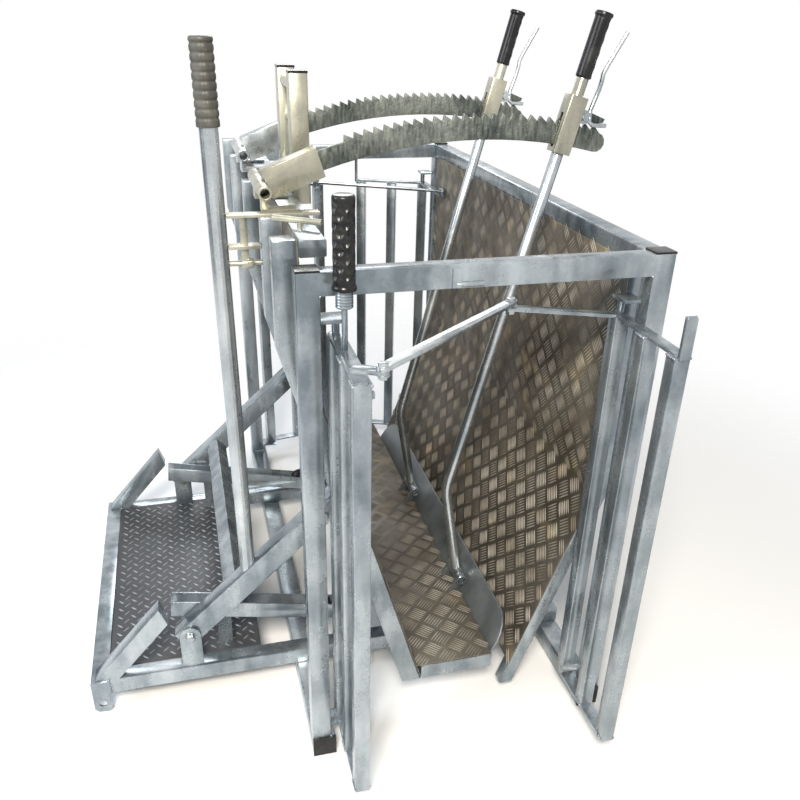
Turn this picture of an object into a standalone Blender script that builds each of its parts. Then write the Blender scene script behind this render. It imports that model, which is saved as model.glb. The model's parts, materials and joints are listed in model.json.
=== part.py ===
"""Sheep handler: a welded race with a turnover crate, two racked clamp levers and a
pair of linked gates at each end.

Metres. +X runs from the operator's side across the race, +Y from the front gate to the
rear gate and +Z up. The pieces are drawn from the front left corner of the frame, and
placed so that the origin is under the middle of the left skid.
"""
import math

import bmesh
import bpy
from mathutils import Matrix, Vector

# Driving dimensions of the base frame
WIDTH = 0.680
LENGTH = 1.375
HEIGHT = 1.086
TUBE = 0.040
SKID = 0.050
CAP = 0.003
TUBE_ROUND = 0.003
GAP = 0.0003
WELD = 0.004
PLATE = 0.005
SHEET = 0.003
BEAM_NEAR_Y = 0.241
BEAM_FAR_Y = 0.980
BEAM_LEFT_X = -0.430
MIDDLE_Y = (BEAM_NEAR_Y + BEAM_FAR_Y + TUBE) / 2
BEAM_Z = SKID + GAP
DECK_Z = BEAM_Z + TUBE
DATUM = Vector((SKID / 2, LENGTH / 2, 0.0))

# Platform at the operator's side
PLATFORM_RIGHT_X = -0.080
PEG_HOLE_RADIUS = 0.009
PEG_LUG_LENGTH = 0.046
PEG_LUG_CORNER = 0.008

# Turnover axis, arms and their stops
PIVOT_X = -0.240
PIVOT_Z = 0.175
BOLT_RADIUS = 0.006
ARM_TALL = 0.050
ARM_WIDE = 0.0395
ARM_NEAR_Y = BEAM_NEAR_Y + 0.0113
ARM_TAIL = 0.022
ARM_ANGLE = math.radians(42)
TURN_ANGLE = math.radians(68)
STOP_ANGLE = math.radians(48)
STOP_REACH = 0.085
CLEVIS_HALF = 0.024
CROSS_TUBE_ALONG = 0.150
STRAP_LONG = 0.060

# Roller tracks
TRACK_WIDE = 0.040
TRACK_SLOPE = math.radians(-11.5)
TRACK_LEFT_X = -0.275
TRACK_LEFT_Z = 0.222
TRACK_POST_X = -0.161
TRACK_POST_WIDE = 0.034
TRACK_POST_DEEP = 0.030
ROLLER_X = 0.116
ROLLER_LIFT = 0.006
ROLLER_RADIUS = 0.026
ROLLER_WIDE = 0.032

# Left wall of the crate, on the outer faces of its ribs
CRATE_NEAR_Y = 0.083
CRATE_FAR_Y = LENGTH - 0.075
LEFT_OUTER_X = -0.025
LEFT_TOP_Z = 1.115
LEFT_KINK_Z = 0.920
LEFT_FOOT_X = 0.221
RIB_DEEP = 0.040
RIB_WIDE = 0.040
RAIL_WIDE = 0.048
RAIL_TALL = 0.030

# Crate floor and flap
FLOOR_Z = DECK_Z + GAP
FLOOR_RIGHT_X = 0.437
FLOOR_TUBE = 0.037
FLOOR_RAIL = 0.030
FLOOR_TOP_Z = FLOOR_Z + FLOOR_TUBE + GAP + SHEET
FLAP_TOP_X = 0.480
FLAP_TOP_Z = 0.200
FLAP_FAR_Y = 1.200
FLAP_ROUND = 0.070

# Right wall of the frame
RIGHT_INNER_X = WIDTH - 0.0433
RIGHT_TOP_Z = HEIGHT - 0.036
RIGHT_BEND_Z = 0.535
RIGHT_FOOT_X = RIGHT_INNER_X - 0.1547
RIGHT_RIB_FOOT_Z = 0.030
RIB_THIN = 0.030
RIGHT_MIDDLE_Y = 0.670

# Clamp levers and their toothed racks
LEVER_Y = {"near": 0.360, "far": 0.800}
KNUCKLE = (0.438, 0.168)
KNUCKLE_RADIUS = 0.0135
KNUCKLE_LONG = 0.062
PIN_RADIUS = 0.008
LEVER_RADIUS = 0.0125
LEVER_BEND = (-0.041, 0.255)
LEVER_LEAN = math.radians(14.6)
BOX_SIDE = 0.038
BOX_WALL = 0.003
BOX_BELOW_RACK = 0.016
BOX_ABOVE_RACK = 0.046
SLOT_SPARE = 0.0015
STUB_NECK = 0.034
GRIP_LONG = 0.120
GRIP_RADIUS = 0.0165
RACK_THICK = 0.008
RACK_INNER_R = 1.062
RACK_ROOT_R = 1.100
RACK_TIP_R = 1.112
BOX_BOTTOM_R = RACK_INNER_R - BOX_BELOW_RACK
BOX_TOP_R = RACK_TIP_R + BOX_ABOVE_RACK
PAWL_SPARE = 0.0006
RACK_LEFT = math.radians(-18.0)
TEETH_RIGHT = math.radians(13.0)
TOOTH_PITCH = math.radians(1.04)
TOOTH_COUNT = 27
TRIGGER_PIVOT = (0.645, 1.271)
TRIGGER_PIN_RADIUS = 0.003
TRIGGER_ROD_RADIUS = 0.0036

# Operator lever
OPERATOR_RADIUS = 0.01685
OPERATOR_ALONG = 0.1925
OPERATOR_TOP = (-0.104, 1.405)
OPERATOR_GRIP_LONG = 0.135
OPERATOR_GRIP_RADIUS = 0.0205

# Rack eyes and guide posts on the left wall's rail
EYE = (LEFT_OUTER_X + 0.014, LEFT_TOP_Z + 0.037)
EYE_RADIUS = 0.0135
EYE_BORE = 0.009
EYE_LONG = 0.200
RACK_ARM_TALL = 0.056
RACK_ARM_WIDE = 0.040
GUIDE_SIDE = 0.038
GUIDE_LOW_Z = LEFT_TOP_Z - 0.025
GUIDE_TOP_Z = LEFT_TOP_Z + 0.230
GUIDE_NEAR_Y = 0.482
GUIDE_FAR_Y = 0.660

# Gates, as angles from +X
GATE_LEFT_X = 0.075
GATE_RIGHT_X = WIDTH - 0.060
GATE_IN_Y = 0.060
GATE_OUT_Y = LENGTH + 0.025
GATE_BAR = 0.030
GATE_PITCH = 0.102
GATE_BOTTOM_Z = 0.055
GATE_TOP_Z = HEIGHT - 0.135
GATE_FLAT = 0.006
HINGE_RADIUS = 0.007
HINGE_DEEP = 0.030
PIN_LEFT_R = 0.190
PIN_RIGHT_R = 0.205
LINK_WIDE = 0.023
LINK_PIN_RADIUS = 0.005
UPPER_LUG_Z = HEIGHT - 0.100
HANDLE_ALONG = 0.0835
HANDLE_LOW_Z = HEIGHT - 0.286
HANDLE_RADIUS = 0.005
HANDLE_Y = -0.0217
COLLAR_Z = (HEIGHT - 0.055, HEIGHT - 0.026)
COLLAR_RADIUS = 0.0135
HANDLE_GRIP_RADIUS = 0.019
HANDLE_GRIP_LONG = 0.148

for old in list(bpy.data.objects):
    bpy.data.objects.remove(old, do_unlink=True)
PARTS = bpy.data.collections.new("sheep_handler")
CUTTERS = bpy.data.collections.new("cutters")
bpy.context.scene.collection.children.link(PARTS)
bpy.context.scene.collection.children.link(CUTTERS)

GALVANISED = (0.52, 0.55, 0.57)
WEATHERED = (0.36, 0.33, 0.28)
BRIGHT = (0.62, 0.62, 0.58)
DARK = (0.30, 0.31, 0.31)
BLACK = (0.02, 0.02, 0.022)


def finish(name, colour, roughness, metallic):
    """A plain Principled material for one sub-part."""
    made = bpy.data.materials.new(name + "_finish")
    made.use_nodes = True
    shader = made.node_tree.nodes["Principled BSDF"]
    shader.inputs["Base Color"].default_value = (*colour, 1.0)
    shader.inputs["Roughness"].default_value = roughness
    shader.inputs["Metallic"].default_value = metallic
    return made


def mirror_y(y):
    """The same place on the far one of the two cross beams."""
    return 2 * MIDDLE_Y - y


def spans(near_y, wide):
    """The near span and its mirrored far span, each as a pair of y values."""
    far_y = near_y + wide
    return {"near": (near_y, far_y), "far": (mirror_y(far_y), mirror_y(near_y))}


def as_piece(mesh, matrix=Matrix()):
    """A mesh as an editable closed piece, its loose caps welded, moved by the matrix."""
    piece = bmesh.new()
    piece.from_mesh(mesh)
    bpy.data.meshes.remove(mesh)
    bmesh.ops.remove_doubles(piece, verts=piece.verts, dist=0.000001)
    bmesh.ops.transform(piece, matrix=matrix, verts=piece.verts)
    bmesh.ops.recalc_face_normals(piece, faces=piece.faces)
    return piece


def evaluated_mesh(thing):
    """The mesh of a curve or a modified object as the viewport shows it."""
    bpy.context.scene.collection.objects.link(thing)
    graph = bpy.context.evaluated_depsgraph_get()
    mesh = bpy.data.meshes.new_from_object(thing.evaluated_get(graph))
    bpy.data.objects.remove(thing, do_unlink=True)
    return mesh


def moved(piece, matrix):
    bmesh.ops.transform(piece, matrix=matrix, verts=piece.verts)
    return piece


def solid(low, high, along=None, radius=TUBE_ROUND):
    """A box between two corners, its four edges along one axis rounded."""
    piece = bmesh.new()
    bmesh.ops.create_cube(piece, size=1.0)
    low, high = Vector(low), Vector(high)
    size = high - low
    bmesh.ops.scale(piece, vec=size, verts=piece.verts)
    bmesh.ops.translate(piece, vec=(low + high) / 2, verts=piece.verts)
    if along is not None:
        edges = []
        for edge in piece.edges:
            span = edge.verts[0].co - edge.verts[1].co
            if abs(span[along]) > span.length / 2:
                edges.append(edge)
        bmesh.ops.bevel(piece, geom=edges, offset=radius, segments=2, profile=0.5, affect="EDGES")
    return piece


def rod(start, end, radius, sides=16):
    """A round bar between two points."""
    start, end = Vector(start), Vector(end)
    piece = bmesh.new()
    bmesh.ops.create_cone(
        piece, cap_ends=True, segments=sides, radius1=radius, radius2=radius,
        depth=(end - start).length,
    )
    turn = (end - start).to_track_quat("Z", "Y").to_matrix().to_4x4()
    return moved(piece, Matrix.Translation((start + end) / 2) @ turn)


def hexagon(start, end, across):
    """A nut or a bolt head between two points."""
    return rod(start, end, across / math.sqrt(3), 6)


def arc(centre, radius, count, start=0.0, sweep=2 * math.pi):
    """Points along a round stretch of an outline; a full circle isn't closed twice."""
    steps = count if abs(sweep) > 6.28 else count + 1
    points = []
    for step in range(steps):
        angle = start + sweep * step / count
        points.append((centre[0] + radius * math.cos(angle), centre[1] + radius * math.sin(angle)))
    return points


def outline_mesh(outline, holes, thickness):
    """A flat outline with holes, drawn in the curve's XY plane and given its thickness."""
    curve = bpy.data.curves.new("outline", "CURVE")
    curve.dimensions = "2D"
    curve.fill_mode = "BOTH"
    curve.extrude = thickness / 2
    for loop in [outline] + list(holes):
        line = curve.splines.new("POLY")
        line.points.add(len(loop) - 1)
        line.use_cyclic_u = True
        for point, place in zip(line.points, loop):
            point.co = (place[0], place[1], 0.0, 1.0)
    return evaluated_mesh(bpy.data.objects.new("outline", curve))


def plate_xz(outline, near_y, far_y, holes=()):
    """A plate whose outline lies in the XZ plane, from near_y to far_y."""
    stand = Matrix.Translation((0, (near_y + far_y) / 2, 0)) @ Matrix.Rotation(math.pi / 2, 4, "X")
    return as_piece(outline_mesh(outline, holes, far_y - near_y), stand)


def plate_xy(outline, low_z, high_z, holes=()):
    """A plate whose outline lies flat, from low_z to high_z."""
    lift = Matrix.Translation((0, 0, (low_z + high_z) / 2))
    return as_piece(outline_mesh(outline, holes, high_z - low_z), lift)


def bent_rod(points, y, radius, resolution=2):
    """A round rod bent through points in the XZ plane at one y."""
    curve = bpy.data.curves.new("rod", "CURVE")
    curve.dimensions = "3D"
    curve.bevel_depth = radius
    curve.bevel_resolution = resolution
    curve.use_fill_caps = True
    line = curve.splines.new("POLY")
    line.points.add(len(points) - 1)
    for point, place in zip(line.points, points):
        point.co = (place[0], y, place[1], 1.0)
    return as_piece(evaluated_mesh(bpy.data.objects.new("rod", curve)))


def rounded_path(points, radius, steps=4):
    """The same path with its inner corners rounded."""
    path = [Vector(points[0])]
    for before, corner, after in zip(points, points[1:], points[2:]):
        before, corner, after = Vector(before), Vector(corner), Vector(after)
        start = corner + (before - corner).normalized() * radius
        end = corner + (after - corner).normalized() * radius
        for step in range(steps + 1):
            t = step / steps
            path.append(start * (1 - t) ** 2 + corner * 2 * t * (1 - t) + end * t * t)
    path.append(Vector(points[-1]))
    return path


def turned(profile, matrix, steps=20):
    """A profile of (radius, height) points, top first, turned about its own Z."""
    mesh = bpy.data.meshes.new("profile")
    verts = [(radius, 0.0, height) for radius, height in profile]
    edges = [(step, step + 1) for step in range(len(verts) - 1)]
    mesh.from_pydata(verts, edges, [])
    thing = bpy.data.objects.new("profile", mesh)
    screw = thing.modifiers.new("Screw", "SCREW")
    screw.steps = steps
    screw.render_steps = steps
    screw.use_merge_vertices = True
    screw.merge_threshold = 0.0001
    return as_piece(evaluated_mesh(thing), matrix)


def boolean(kept, others, operation):
    """One closed piece from a piece and the others that are joined to it or cut from it."""
    things = []
    for piece in [kept] + list(others):
        bmesh.ops.recalc_face_normals(piece, faces=piece.faces)
        mesh = bpy.data.meshes.new("piece")
        piece.to_mesh(mesh)
        piece.free()
        things.append(bpy.data.objects.new("piece", mesh))
    for other in things[1:]:
        CUTTERS.objects.link(other)
        other.hide_render = True
        other.display_type = "WIRE"
        step = things[0].modifiers.new("Boolean", "BOOLEAN")
        step.operation = operation
        step.object = other
    mesh = evaluated_mesh(things[0])
    for other in things[1:]:
        bpy.data.objects.remove(other, do_unlink=True)
    return as_piece(mesh)


def welded(kept, *others):
    return boolean(kept, others, "UNION")


def cut(kept, *others):
    return boolean(kept, others, "DIFFERENCE")


def sub_part(name, piece, look, parent=None, smooth=False, axis=(0, 0, 0)):
    """Turn what was built into one named sub-part, its origin on the axis it turns about."""
    mesh = bpy.data.meshes.new(name)
    bmesh.ops.translate(piece, vec=-Vector(axis), verts=piece.verts)
    piece.to_mesh(mesh)
    piece.free()
    if smooth:
        mesh.shade_smooth()
        mesh.set_sharp_from_angle(angle=math.radians(35))
    mesh.materials.append(finish(name, *look))
    thing = bpy.data.objects.new(name, mesh)
    thing.location = Vector(axis) - DATUM
    PARTS.objects.link(thing)
    if parent is not None:
        thing.parent = parent
        thing.matrix_parent_inverse = parent.matrix_world.inverted()
    bpy.context.view_layer.update()
    return thing


ZINC = (GALVANISED, 0.4, 0.9)
TREAD = (WEATHERED, 0.5, 0.9)
STEEL = (BRIGHT, 0.35, 0.9)
DULL = (DARK, 0.5, 0.8)
RUBBER = (BLACK, 0.55, 0.0)


def crossing(point, direction, other, heading):
    """Where two lines in a plane meet."""
    span = direction[0] * heading[1] - direction[1] * heading[0]
    along = ((other[0] - point[0]) * heading[1] - (other[1] - point[1]) * heading[0]) / span
    return (point[0] + along * direction[0], point[1] + along * direction[1])


def offset_path(path, distance):
    """A path moved to its right-hand side by a distance, with mitred corners."""
    shifted = []
    for index, point in enumerate(path):
        point = Vector(point)
        sides = []
        if index > 0:
            sides.append((point - Vector(path[index - 1])).normalized())
        if index < len(path) - 1:
            sides.append((Vector(path[index + 1]) - point).normalized())
        normals = [Vector((side.y, -side.x)) for side in sides]
        normal = sum(normals, Vector((0, 0))).normalized()
        shifted.append(tuple(point + normal * (distance / normal.dot(normals[0]))))
    return shifted


def levelled(path, first_z, last_z):
    """The same path in XZ with both ends cut level at the given heights."""
    first = crossing(path[0], Vector(path[1]) - Vector(path[0]), (0, first_z), (1, 0))
    last = crossing(path[-1], Vector(path[-1]) - Vector(path[-2]), (0, last_z), (1, 0))
    return [first] + list(path[1:-1]) + [last]


def polar(radius, angle, centre=KNUCKLE):
    """A point at a radius and an angle that is measured from straight up towards +X."""
    return (centre[0] + radius * math.sin(angle), centre[1] + radius * math.cos(angle))


def unit(angle):
    return Vector((math.cos(angle), math.sin(angle)))


def skids():
    """Two square skids under the posts."""
    for name, low_x in (("skid_left", 0.0), ("skid_right", WIDTH - SKID)):
        sub_part(name, solid((low_x, 0, 0), (low_x + SKID, LENGTH, SKID), along=1), ZINC)


def hinge_lugs(hinge_y, post_y):
    """Lugs off both posts, above and below each leaf, with the pins that it turns on."""
    pieces = []
    reach = 0.013
    low_y = min(post_y, hinge_y) - reach
    high_y = hinge_y + reach
    for hinge_x, post_x in ((GATE_LEFT_X, TUBE - WELD), (GATE_RIGHT_X, WIDTH - TUBE + WELD)):
        low_x, high_x = min(hinge_x - reach, post_x), max(hinge_x + reach, post_x)
        pieces.append(solid((low_x, low_y, UPPER_LUG_Z), (high_x, high_y, UPPER_LUG_Z + GATE_FLAT)))
        lower = GATE_BOTTOM_Z - GAP
        pieces.append(solid((low_x, low_y, lower - 0.0035), (high_x, high_y, lower)))
        hinge = (hinge_x, hinge_y)
        pin_low = GATE_TOP_Z + GATE_FLAT - HINGE_DEEP
        pieces.append(rod((*hinge, pin_low), (*hinge, UPPER_LUG_Z + WELD / 2), HINGE_RADIUS))
        pieces.append(rod((*hinge, lower - 0.002), (*hinge, lower + HINGE_DEEP), HINGE_RADIUS))
    return pieces


def rail_stop():
    """A small plate and a rod on the front of the near top rail."""
    left = 0.262
    wide = 0.016
    radius = 0.005
    low_z = HEIGHT - TUBE
    plate = solid((left, -radius, low_z), (left + wide, WELD, HEIGHT - CAP - 0.004))
    bar_z = low_z + radius
    bar = rod((left + wide / 2, -0.001, bar_z), (left + wide + 0.040, -0.001, bar_z), radius, 12)
    return [plate, bar]


def end_frames():
    """A welded portal at each end: two posts, a top rail and the gate's hinge lugs."""
    ends = (("near_frame", 0.0, GATE_IN_Y, TUBE), ("far_frame", LENGTH - TUBE, GATE_OUT_Y, LENGTH))
    for name, near_y, hinge_y, face_y in ends:
        pieces = []
        for low_x in (0.0, WIDTH - TUBE):
            high = (low_x + TUBE, near_y + TUBE, HEIGHT)
            pieces.append(solid((low_x, near_y, SKID + GAP), high, along=2))
        low = (TUBE - WELD, near_y, HEIGHT - CAP - TUBE)
        pieces.append(solid(low, (WIDTH - TUBE + WELD, near_y + TUBE, HEIGHT - CAP), along=0))
        pieces += hinge_lugs(hinge_y, face_y)
        if near_y == 0.0:
            pieces += rail_stop()
        sub_part(name, welded(*pieces), ZINC)


def top_rail():
    low = (WIDTH - TUBE, TUBE + GAP, HEIGHT - CAP - TUBE)
    rail = solid(low, (WIDTH, LENGTH - TUBE - GAP, HEIGHT - CAP), along=1)
    sub_part("right_top_rail", rail, ZINC)


def stop_tube(near_y, far_y):
    """A slanting tube whose cut end catches the arm when the crate is turned over."""
    final = ARM_ANGLE + TURN_ANGLE
    along = unit(final)
    outward = unit(final + math.pi / 2)
    seat = Vector((PIVOT_X, PIVOT_Z)) + outward * (ARM_TALL / 2 + GAP)
    end = seat + along * STOP_REACH
    heading = unit(STOP_ANGLE)
    corners = []
    for side in (-TUBE / 2, TUBE / 2):
        start = end + unit(STOP_ANGLE + math.pi / 2) * side
        foot = crossing(start, heading, (0, DECK_Z - WELD), (1, 0))
        corners.append((foot, crossing(start, heading, seat, along)))
    outline = [corners[0][0], corners[0][1], corners[1][1], corners[1][0]]
    return plate_xz(outline, near_y + GAP, far_y - GAP)


def clevis_plate(near_y, far_y, low_z):
    """An upright plate with a round top, holed for a pivot bolt."""
    outline = [(PIVOT_X - CLEVIS_HALF, low_z), (PIVOT_X + CLEVIS_HALF, low_z)]
    outline += arc((PIVOT_X, PIVOT_Z), CLEVIS_HALF, 10, 0.0, math.pi)
    hole = arc((PIVOT_X, PIVOT_Z), BOLT_RADIUS + GAP, 12)
    return plate_xz(outline, near_y, far_y, [hole])


def cross_beams():
    """Two beams across the skids, each with a stop tube and an outer pivot plate."""
    plates = spans(ARM_NEAR_Y - GAP - PLATE, PLATE)
    for end, (near_y, far_y) in spans(BEAM_NEAR_Y, TUBE).items():
        beam = solid((BEAM_LEFT_X + GAP, near_y, BEAM_Z), (WIDTH, far_y, DECK_Z), along=0)
        plate = clevis_plate(*plates[end], DECK_Z - WELD)
        stop = cut(stop_tube(near_y, far_y), beam_shadow(near_y, far_y))
        sub_part("cross_beam_" + end, welded(beam, plate, stop), ZINC)


def beam_shadow(near_y, far_y):
    """What the platform's edge tube takes, so the stop tube stays clear of it."""
    low = (BEAM_LEFT_X - 2 * TUBE, near_y - TUBE, 0.0)
    return solid(low, (BEAM_LEFT_X + GAP, far_y + TUBE, DECK_Z + GAP))


def platform():
    """The tread plate that the operator stands on, and its edge tube with peg lugs."""
    low = (BEAM_LEFT_X + GAP, BEAM_NEAR_Y + TUBE + GAP, DECK_Z - SHEET)
    plate = solid(low, (PLATFORM_RIGHT_X, BEAM_FAR_Y - GAP, DECK_Z))
    sub_part("platform_plate", plate, TREAD)
    left, right = BEAM_LEFT_X - TUBE, BEAM_LEFT_X
    low_z = BEAM_Z - PEG_LUG_LENGTH
    corner = PEG_LUG_CORNER
    outline = [(left, BEAM_Z + WELD), (left, low_z + corner), (left + corner, low_z)]
    outline += [(right - corner, low_z), (right, low_z + corner), (right, BEAM_Z + WELD)]
    hole = arc(((left + right) / 2, low_z + PEG_LUG_LENGTH / 2), PEG_HOLE_RADIUS, 12)
    start, end = (left, BEAM_NEAR_Y - PLATE, BEAM_Z), (right, BEAM_FAR_Y + TUBE + PLATE, DECK_Z)
    pieces = [solid(start, end, along=1)]
    for near_y, far_y in spans(BEAM_NEAR_Y - PLATE, PLATE).values():
        pieces.append(plate_xz(outline, near_y, far_y, [hole]))
    sub_part("platform_edge", welded(*pieces), ZINC)


def pivot_bolts():
    """The two bolts that the arms turn on, their heads to the front."""
    head = 0.008
    grip = ARM_WIDE + 2 * PLATE + 3 * GAP
    for end, (near_y, far_y) in spans(ARM_NEAR_Y - 2 * GAP - PLATE, grip).items():
        tip = (PIVOT_X, far_y - GAP, PIVOT_Z)
        shank = rod((PIVOT_X, near_y - head / 2, PIVOT_Z), tip, BOLT_RADIUS, 12)
        cap = hexagon((PIVOT_X, near_y - head, PIVOT_Z), (PIVOT_X, near_y, PIVOT_Z), 0.019)
        sub_part("pivot_bolt_" + end, welded(cap, shank), STEEL)


def track_point(x, lift=0.0):
    """A point at x on a line that runs beside the track's middle line."""
    rise = (x - TRACK_LEFT_X) * math.tan(TRACK_SLOPE) + lift / math.cos(TRACK_SLOPE)
    return (x, TRACK_LEFT_Z + rise)


def roller_tracks():
    """Channels that run down from the pivots, each with a post, a plate and a roller."""
    half = TRACK_WIDE / 2
    axle = track_point(ROLLER_X, ROLLER_LIFT)
    floor_end = ROLLER_X - ROLLER_RADIUS - 0.006
    tip = ROLLER_X + 0.016
    start = TRACK_LEFT_X + half * math.tan(TRACK_SLOPE)
    flange = [track_point(TRACK_LEFT_X, half), track_point(start, -half)]
    flange += [track_point(tip - 0.012, -half), track_point(tip, 0.012 - half)]
    flange += [track_point(tip, half - 0.010), track_point(tip - 0.010, half)]
    left, right, above = TRACK_LEFT_X - TUBE, tip + TUBE, half + TUBE
    hollow = [track_point(left, SHEET - half), track_point(floor_end, SHEET - half)]
    hollow += [track_point(floor_end, -above), track_point(right, -above)]
    hollow += [track_point(right, above), track_point(left, above)]
    post_left, post_right = TRACK_POST_X - TRACK_POST_WIDE / 2, TRACK_POST_X + TRACK_POST_WIDE / 2
    post = [(post_left, DECK_Z + GAP), (post_right, DECK_Z + GAP)]
    post += [track_point(post_right, 0.002 - half), track_point(post_left, 0.002 - half)]
    plates = spans(ARM_NEAR_Y + ARM_WIDE + GAP, PLATE)
    inset = (TRACK_WIDE - TRACK_POST_DEEP) / 2
    near_side = ARM_NEAR_Y + ARM_WIDE + GAP + PLATE - 0.0005
    for end, (near_y, far_y) in spans(near_side, TRACK_WIDE).items():
        inside = plate_xz(hollow, near_y + SHEET, far_y - SHEET)
        pieces = [cut(plate_xz(flange, near_y, far_y), inside)]
        pieces.append(plate_xz(post, near_y + inset, far_y - inset))
        pieces.append(clevis_plate(*plates[end], DECK_Z + GAP))
        axle_start, axle_end = (axle[0], near_y - WELD, axle[1]), (axle[0], far_y + WELD, axle[1])
        pieces.append(rod(axle_start, axle_end, BOLT_RADIUS, 12))
        sub_part("roller_track_" + end, welded(*pieces), ZINC)
        roller((axle[0], (near_y + far_y) / 2, axle[1]), end)


def roller(place, end):
    """A ribbed rubber roller, free on its axle."""
    bore = BOLT_RADIUS + 2 * GAP
    half = ROLLER_WIDE / 2
    grooves = 6
    pitch = ROLLER_WIDE / grooves
    profile = [(bore, half)]
    for groove in range(grooves):
        top = half - groove * pitch
        profile += [(ROLLER_RADIUS - 0.0015, top), (ROLLER_RADIUS, top - pitch / 2)]
    profile += [(ROLLER_RADIUS - 0.0015, -half), (bore, -half), (bore, half)]
    stand = Matrix.Translation(place) @ Matrix.Rotation(math.pi / 2, 4, "X")
    sub_part("roller_" + end, turned(profile, stand, 24), RUBBER, None, True, place)


def right_wall():
    """The fixed wall: a folded sheet of tread plate on three bent ribs."""
    bend = (RIGHT_INNER_X, RIGHT_BEND_Z)
    path = [(RIGHT_FOOT_X, FLOOR_Z), bend, (RIGHT_INNER_X, RIGHT_TOP_Z)]
    back = levelled(offset_path(path, SHEET), FLOOR_Z, RIGHT_TOP_Z)
    sheet = plate_xz(path + back[::-1], CRATE_NEAR_Y, CRATE_FAR_Y)
    sub_part("right_wall_sheet", sheet, TREAD)
    top = HEIGHT - CAP - TUBE - GAP
    starts = (("near", CRATE_NEAR_Y, RIGHT_RIB_FOOT_Z), ("middle", RIGHT_MIDDLE_Y, FLOOR_Z))
    starts += (("far", CRATE_FAR_Y - RIB_THIN, FLOOR_Z),)
    for name, near_y, foot_z in starts:
        inner = levelled(offset_path(path, SHEET + GAP), foot_z, top)
        outer = levelled(offset_path(path, SHEET + GAP + RIB_THIN), foot_z, top)
        sub_part("right_rib_" + name, plate_xz(inner + outer[::-1], near_y, near_y + RIB_THIN), ZINC)


def left_wall_path(inward):
    """The line of the left wall, this far inside the outer faces of its ribs."""
    path = [(LEFT_OUTER_X, LEFT_TOP_Z), (LEFT_OUTER_X, LEFT_KINK_Z), (LEFT_FOOT_X, FLOOR_Z)]
    return levelled(offset_path(path, -inward), LEFT_TOP_Z, FLOOR_Z)


def left_wall(crate):
    """The crate's own wall: five ribs, a folded sheet inside them and a top rail."""
    outer, inner = left_wall_path(0.0), left_wall_path(RIB_DEEP)
    arms = spans(ARM_NEAR_Y, RIB_WIDE)
    middle = MIDDLE_Y - RIB_WIDE / 2
    starts = [CRATE_NEAR_Y, arms["near"][0], middle, arms["far"][0], CRATE_FAR_Y - RIB_WIDE]
    for index, near_y in enumerate(starts):
        rib = plate_xz(outer + inner[::-1], near_y, near_y + RIB_WIDE)
        sub_part("left_rib_%d" % (index + 1), rib, ZINC, crate)
    back, front = left_wall_path(RIB_DEEP + GAP), left_wall_path(RIB_DEEP + GAP + SHEET)
    sheet = plate_xz(back + front[::-1], CRATE_NEAR_Y, CRATE_FAR_Y)
    sub_part("left_wall_sheet", sheet, TREAD, crate)
    left = front[0][0] + GAP
    low = (left, CRATE_NEAR_Y, LEFT_TOP_Z - RAIL_TALL)
    rail = solid(low, (left + RAIL_WIDE, CRATE_FAR_Y, LEFT_TOP_Z), along=1)
    sub_part("left_wall_rail", rail, ZINC, crate)


def crate_floor(crate):
    """A welded tube frame under a tread plate."""
    front = left_wall_path(RIB_DEEP + GAP + SHEET)
    left = front[-1][0] + GAP
    high_z = FLOOR_Z + FLOOR_TUBE
    pieces = []
    for low_x in (left, FLOOR_RIGHT_X - FLOOR_RAIL):
        low = (low_x, CRATE_NEAR_Y, FLOOR_Z)
        pieces.append(solid(low, (low_x + FLOOR_RAIL, CRATE_FAR_Y, high_z), along=1))
    for near_y in (CRATE_NEAR_Y, MIDDLE_Y - FLOOR_RAIL / 2, CRATE_FAR_Y - FLOOR_RAIL):
        low = (left + FLOOR_RAIL - WELD, near_y, FLOOR_Z + 0.001)
        high = (FLOOR_RIGHT_X - FLOOR_RAIL + WELD, near_y + FLOOR_RAIL, high_z - 0.001)
        pieces.append(solid(low, high))
    sub_part("floor_frame", welded(*pieces), ZINC, crate)
    plate_z = high_z + GAP
    plate_left = crossing(front[-1], Vector(front[-1]) - Vector(front[-2]), (0, plate_z), (1, 0))[0]
    plate = solid((plate_left + GAP, CRATE_NEAR_Y, plate_z), (FLOOR_RIGHT_X, CRATE_FAR_Y, FLOOR_TOP_Z))
    sub_part("floor_plate", plate, TREAD, crate)


def flap(crate):
    """The grey steel flap that leans out along the right side of the floor."""
    foot = Vector((FLOOR_RIGHT_X + GAP, FLOOR_Z + FLOOR_TUBE))
    lean = Vector((FLAP_TOP_X, FLAP_TOP_Z)) - foot
    tall = lean.length
    near_y = CRATE_NEAR_Y + 0.010
    outline = [(near_y, 0.0), (FLAP_FAR_Y, 0.0)]
    quarter = math.pi / 2
    outline += arc((FLAP_FAR_Y - FLAP_ROUND, tall - FLAP_ROUND), FLAP_ROUND, 6, 0.0, quarter)
    outline += arc((near_y + FLAP_ROUND, tall - FLAP_ROUND), FLAP_ROUND, 6, quarter, quarter)
    up = Vector((lean.x, 0, lean.y)).normalized()
    across = Vector((0, 1, 0))
    face = across.cross(up)
    place = Vector((foot.x, 0, foot.y)) + face * PLATE / 2
    stand = Matrix.Translation(place) @ Matrix((across, up, face)).transposed().to_4x4()
    plate = as_piece(outline_mesh(outline, [], PLATE), stand)
    sub_part("flap_plate", plate, DULL, crate)


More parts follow.
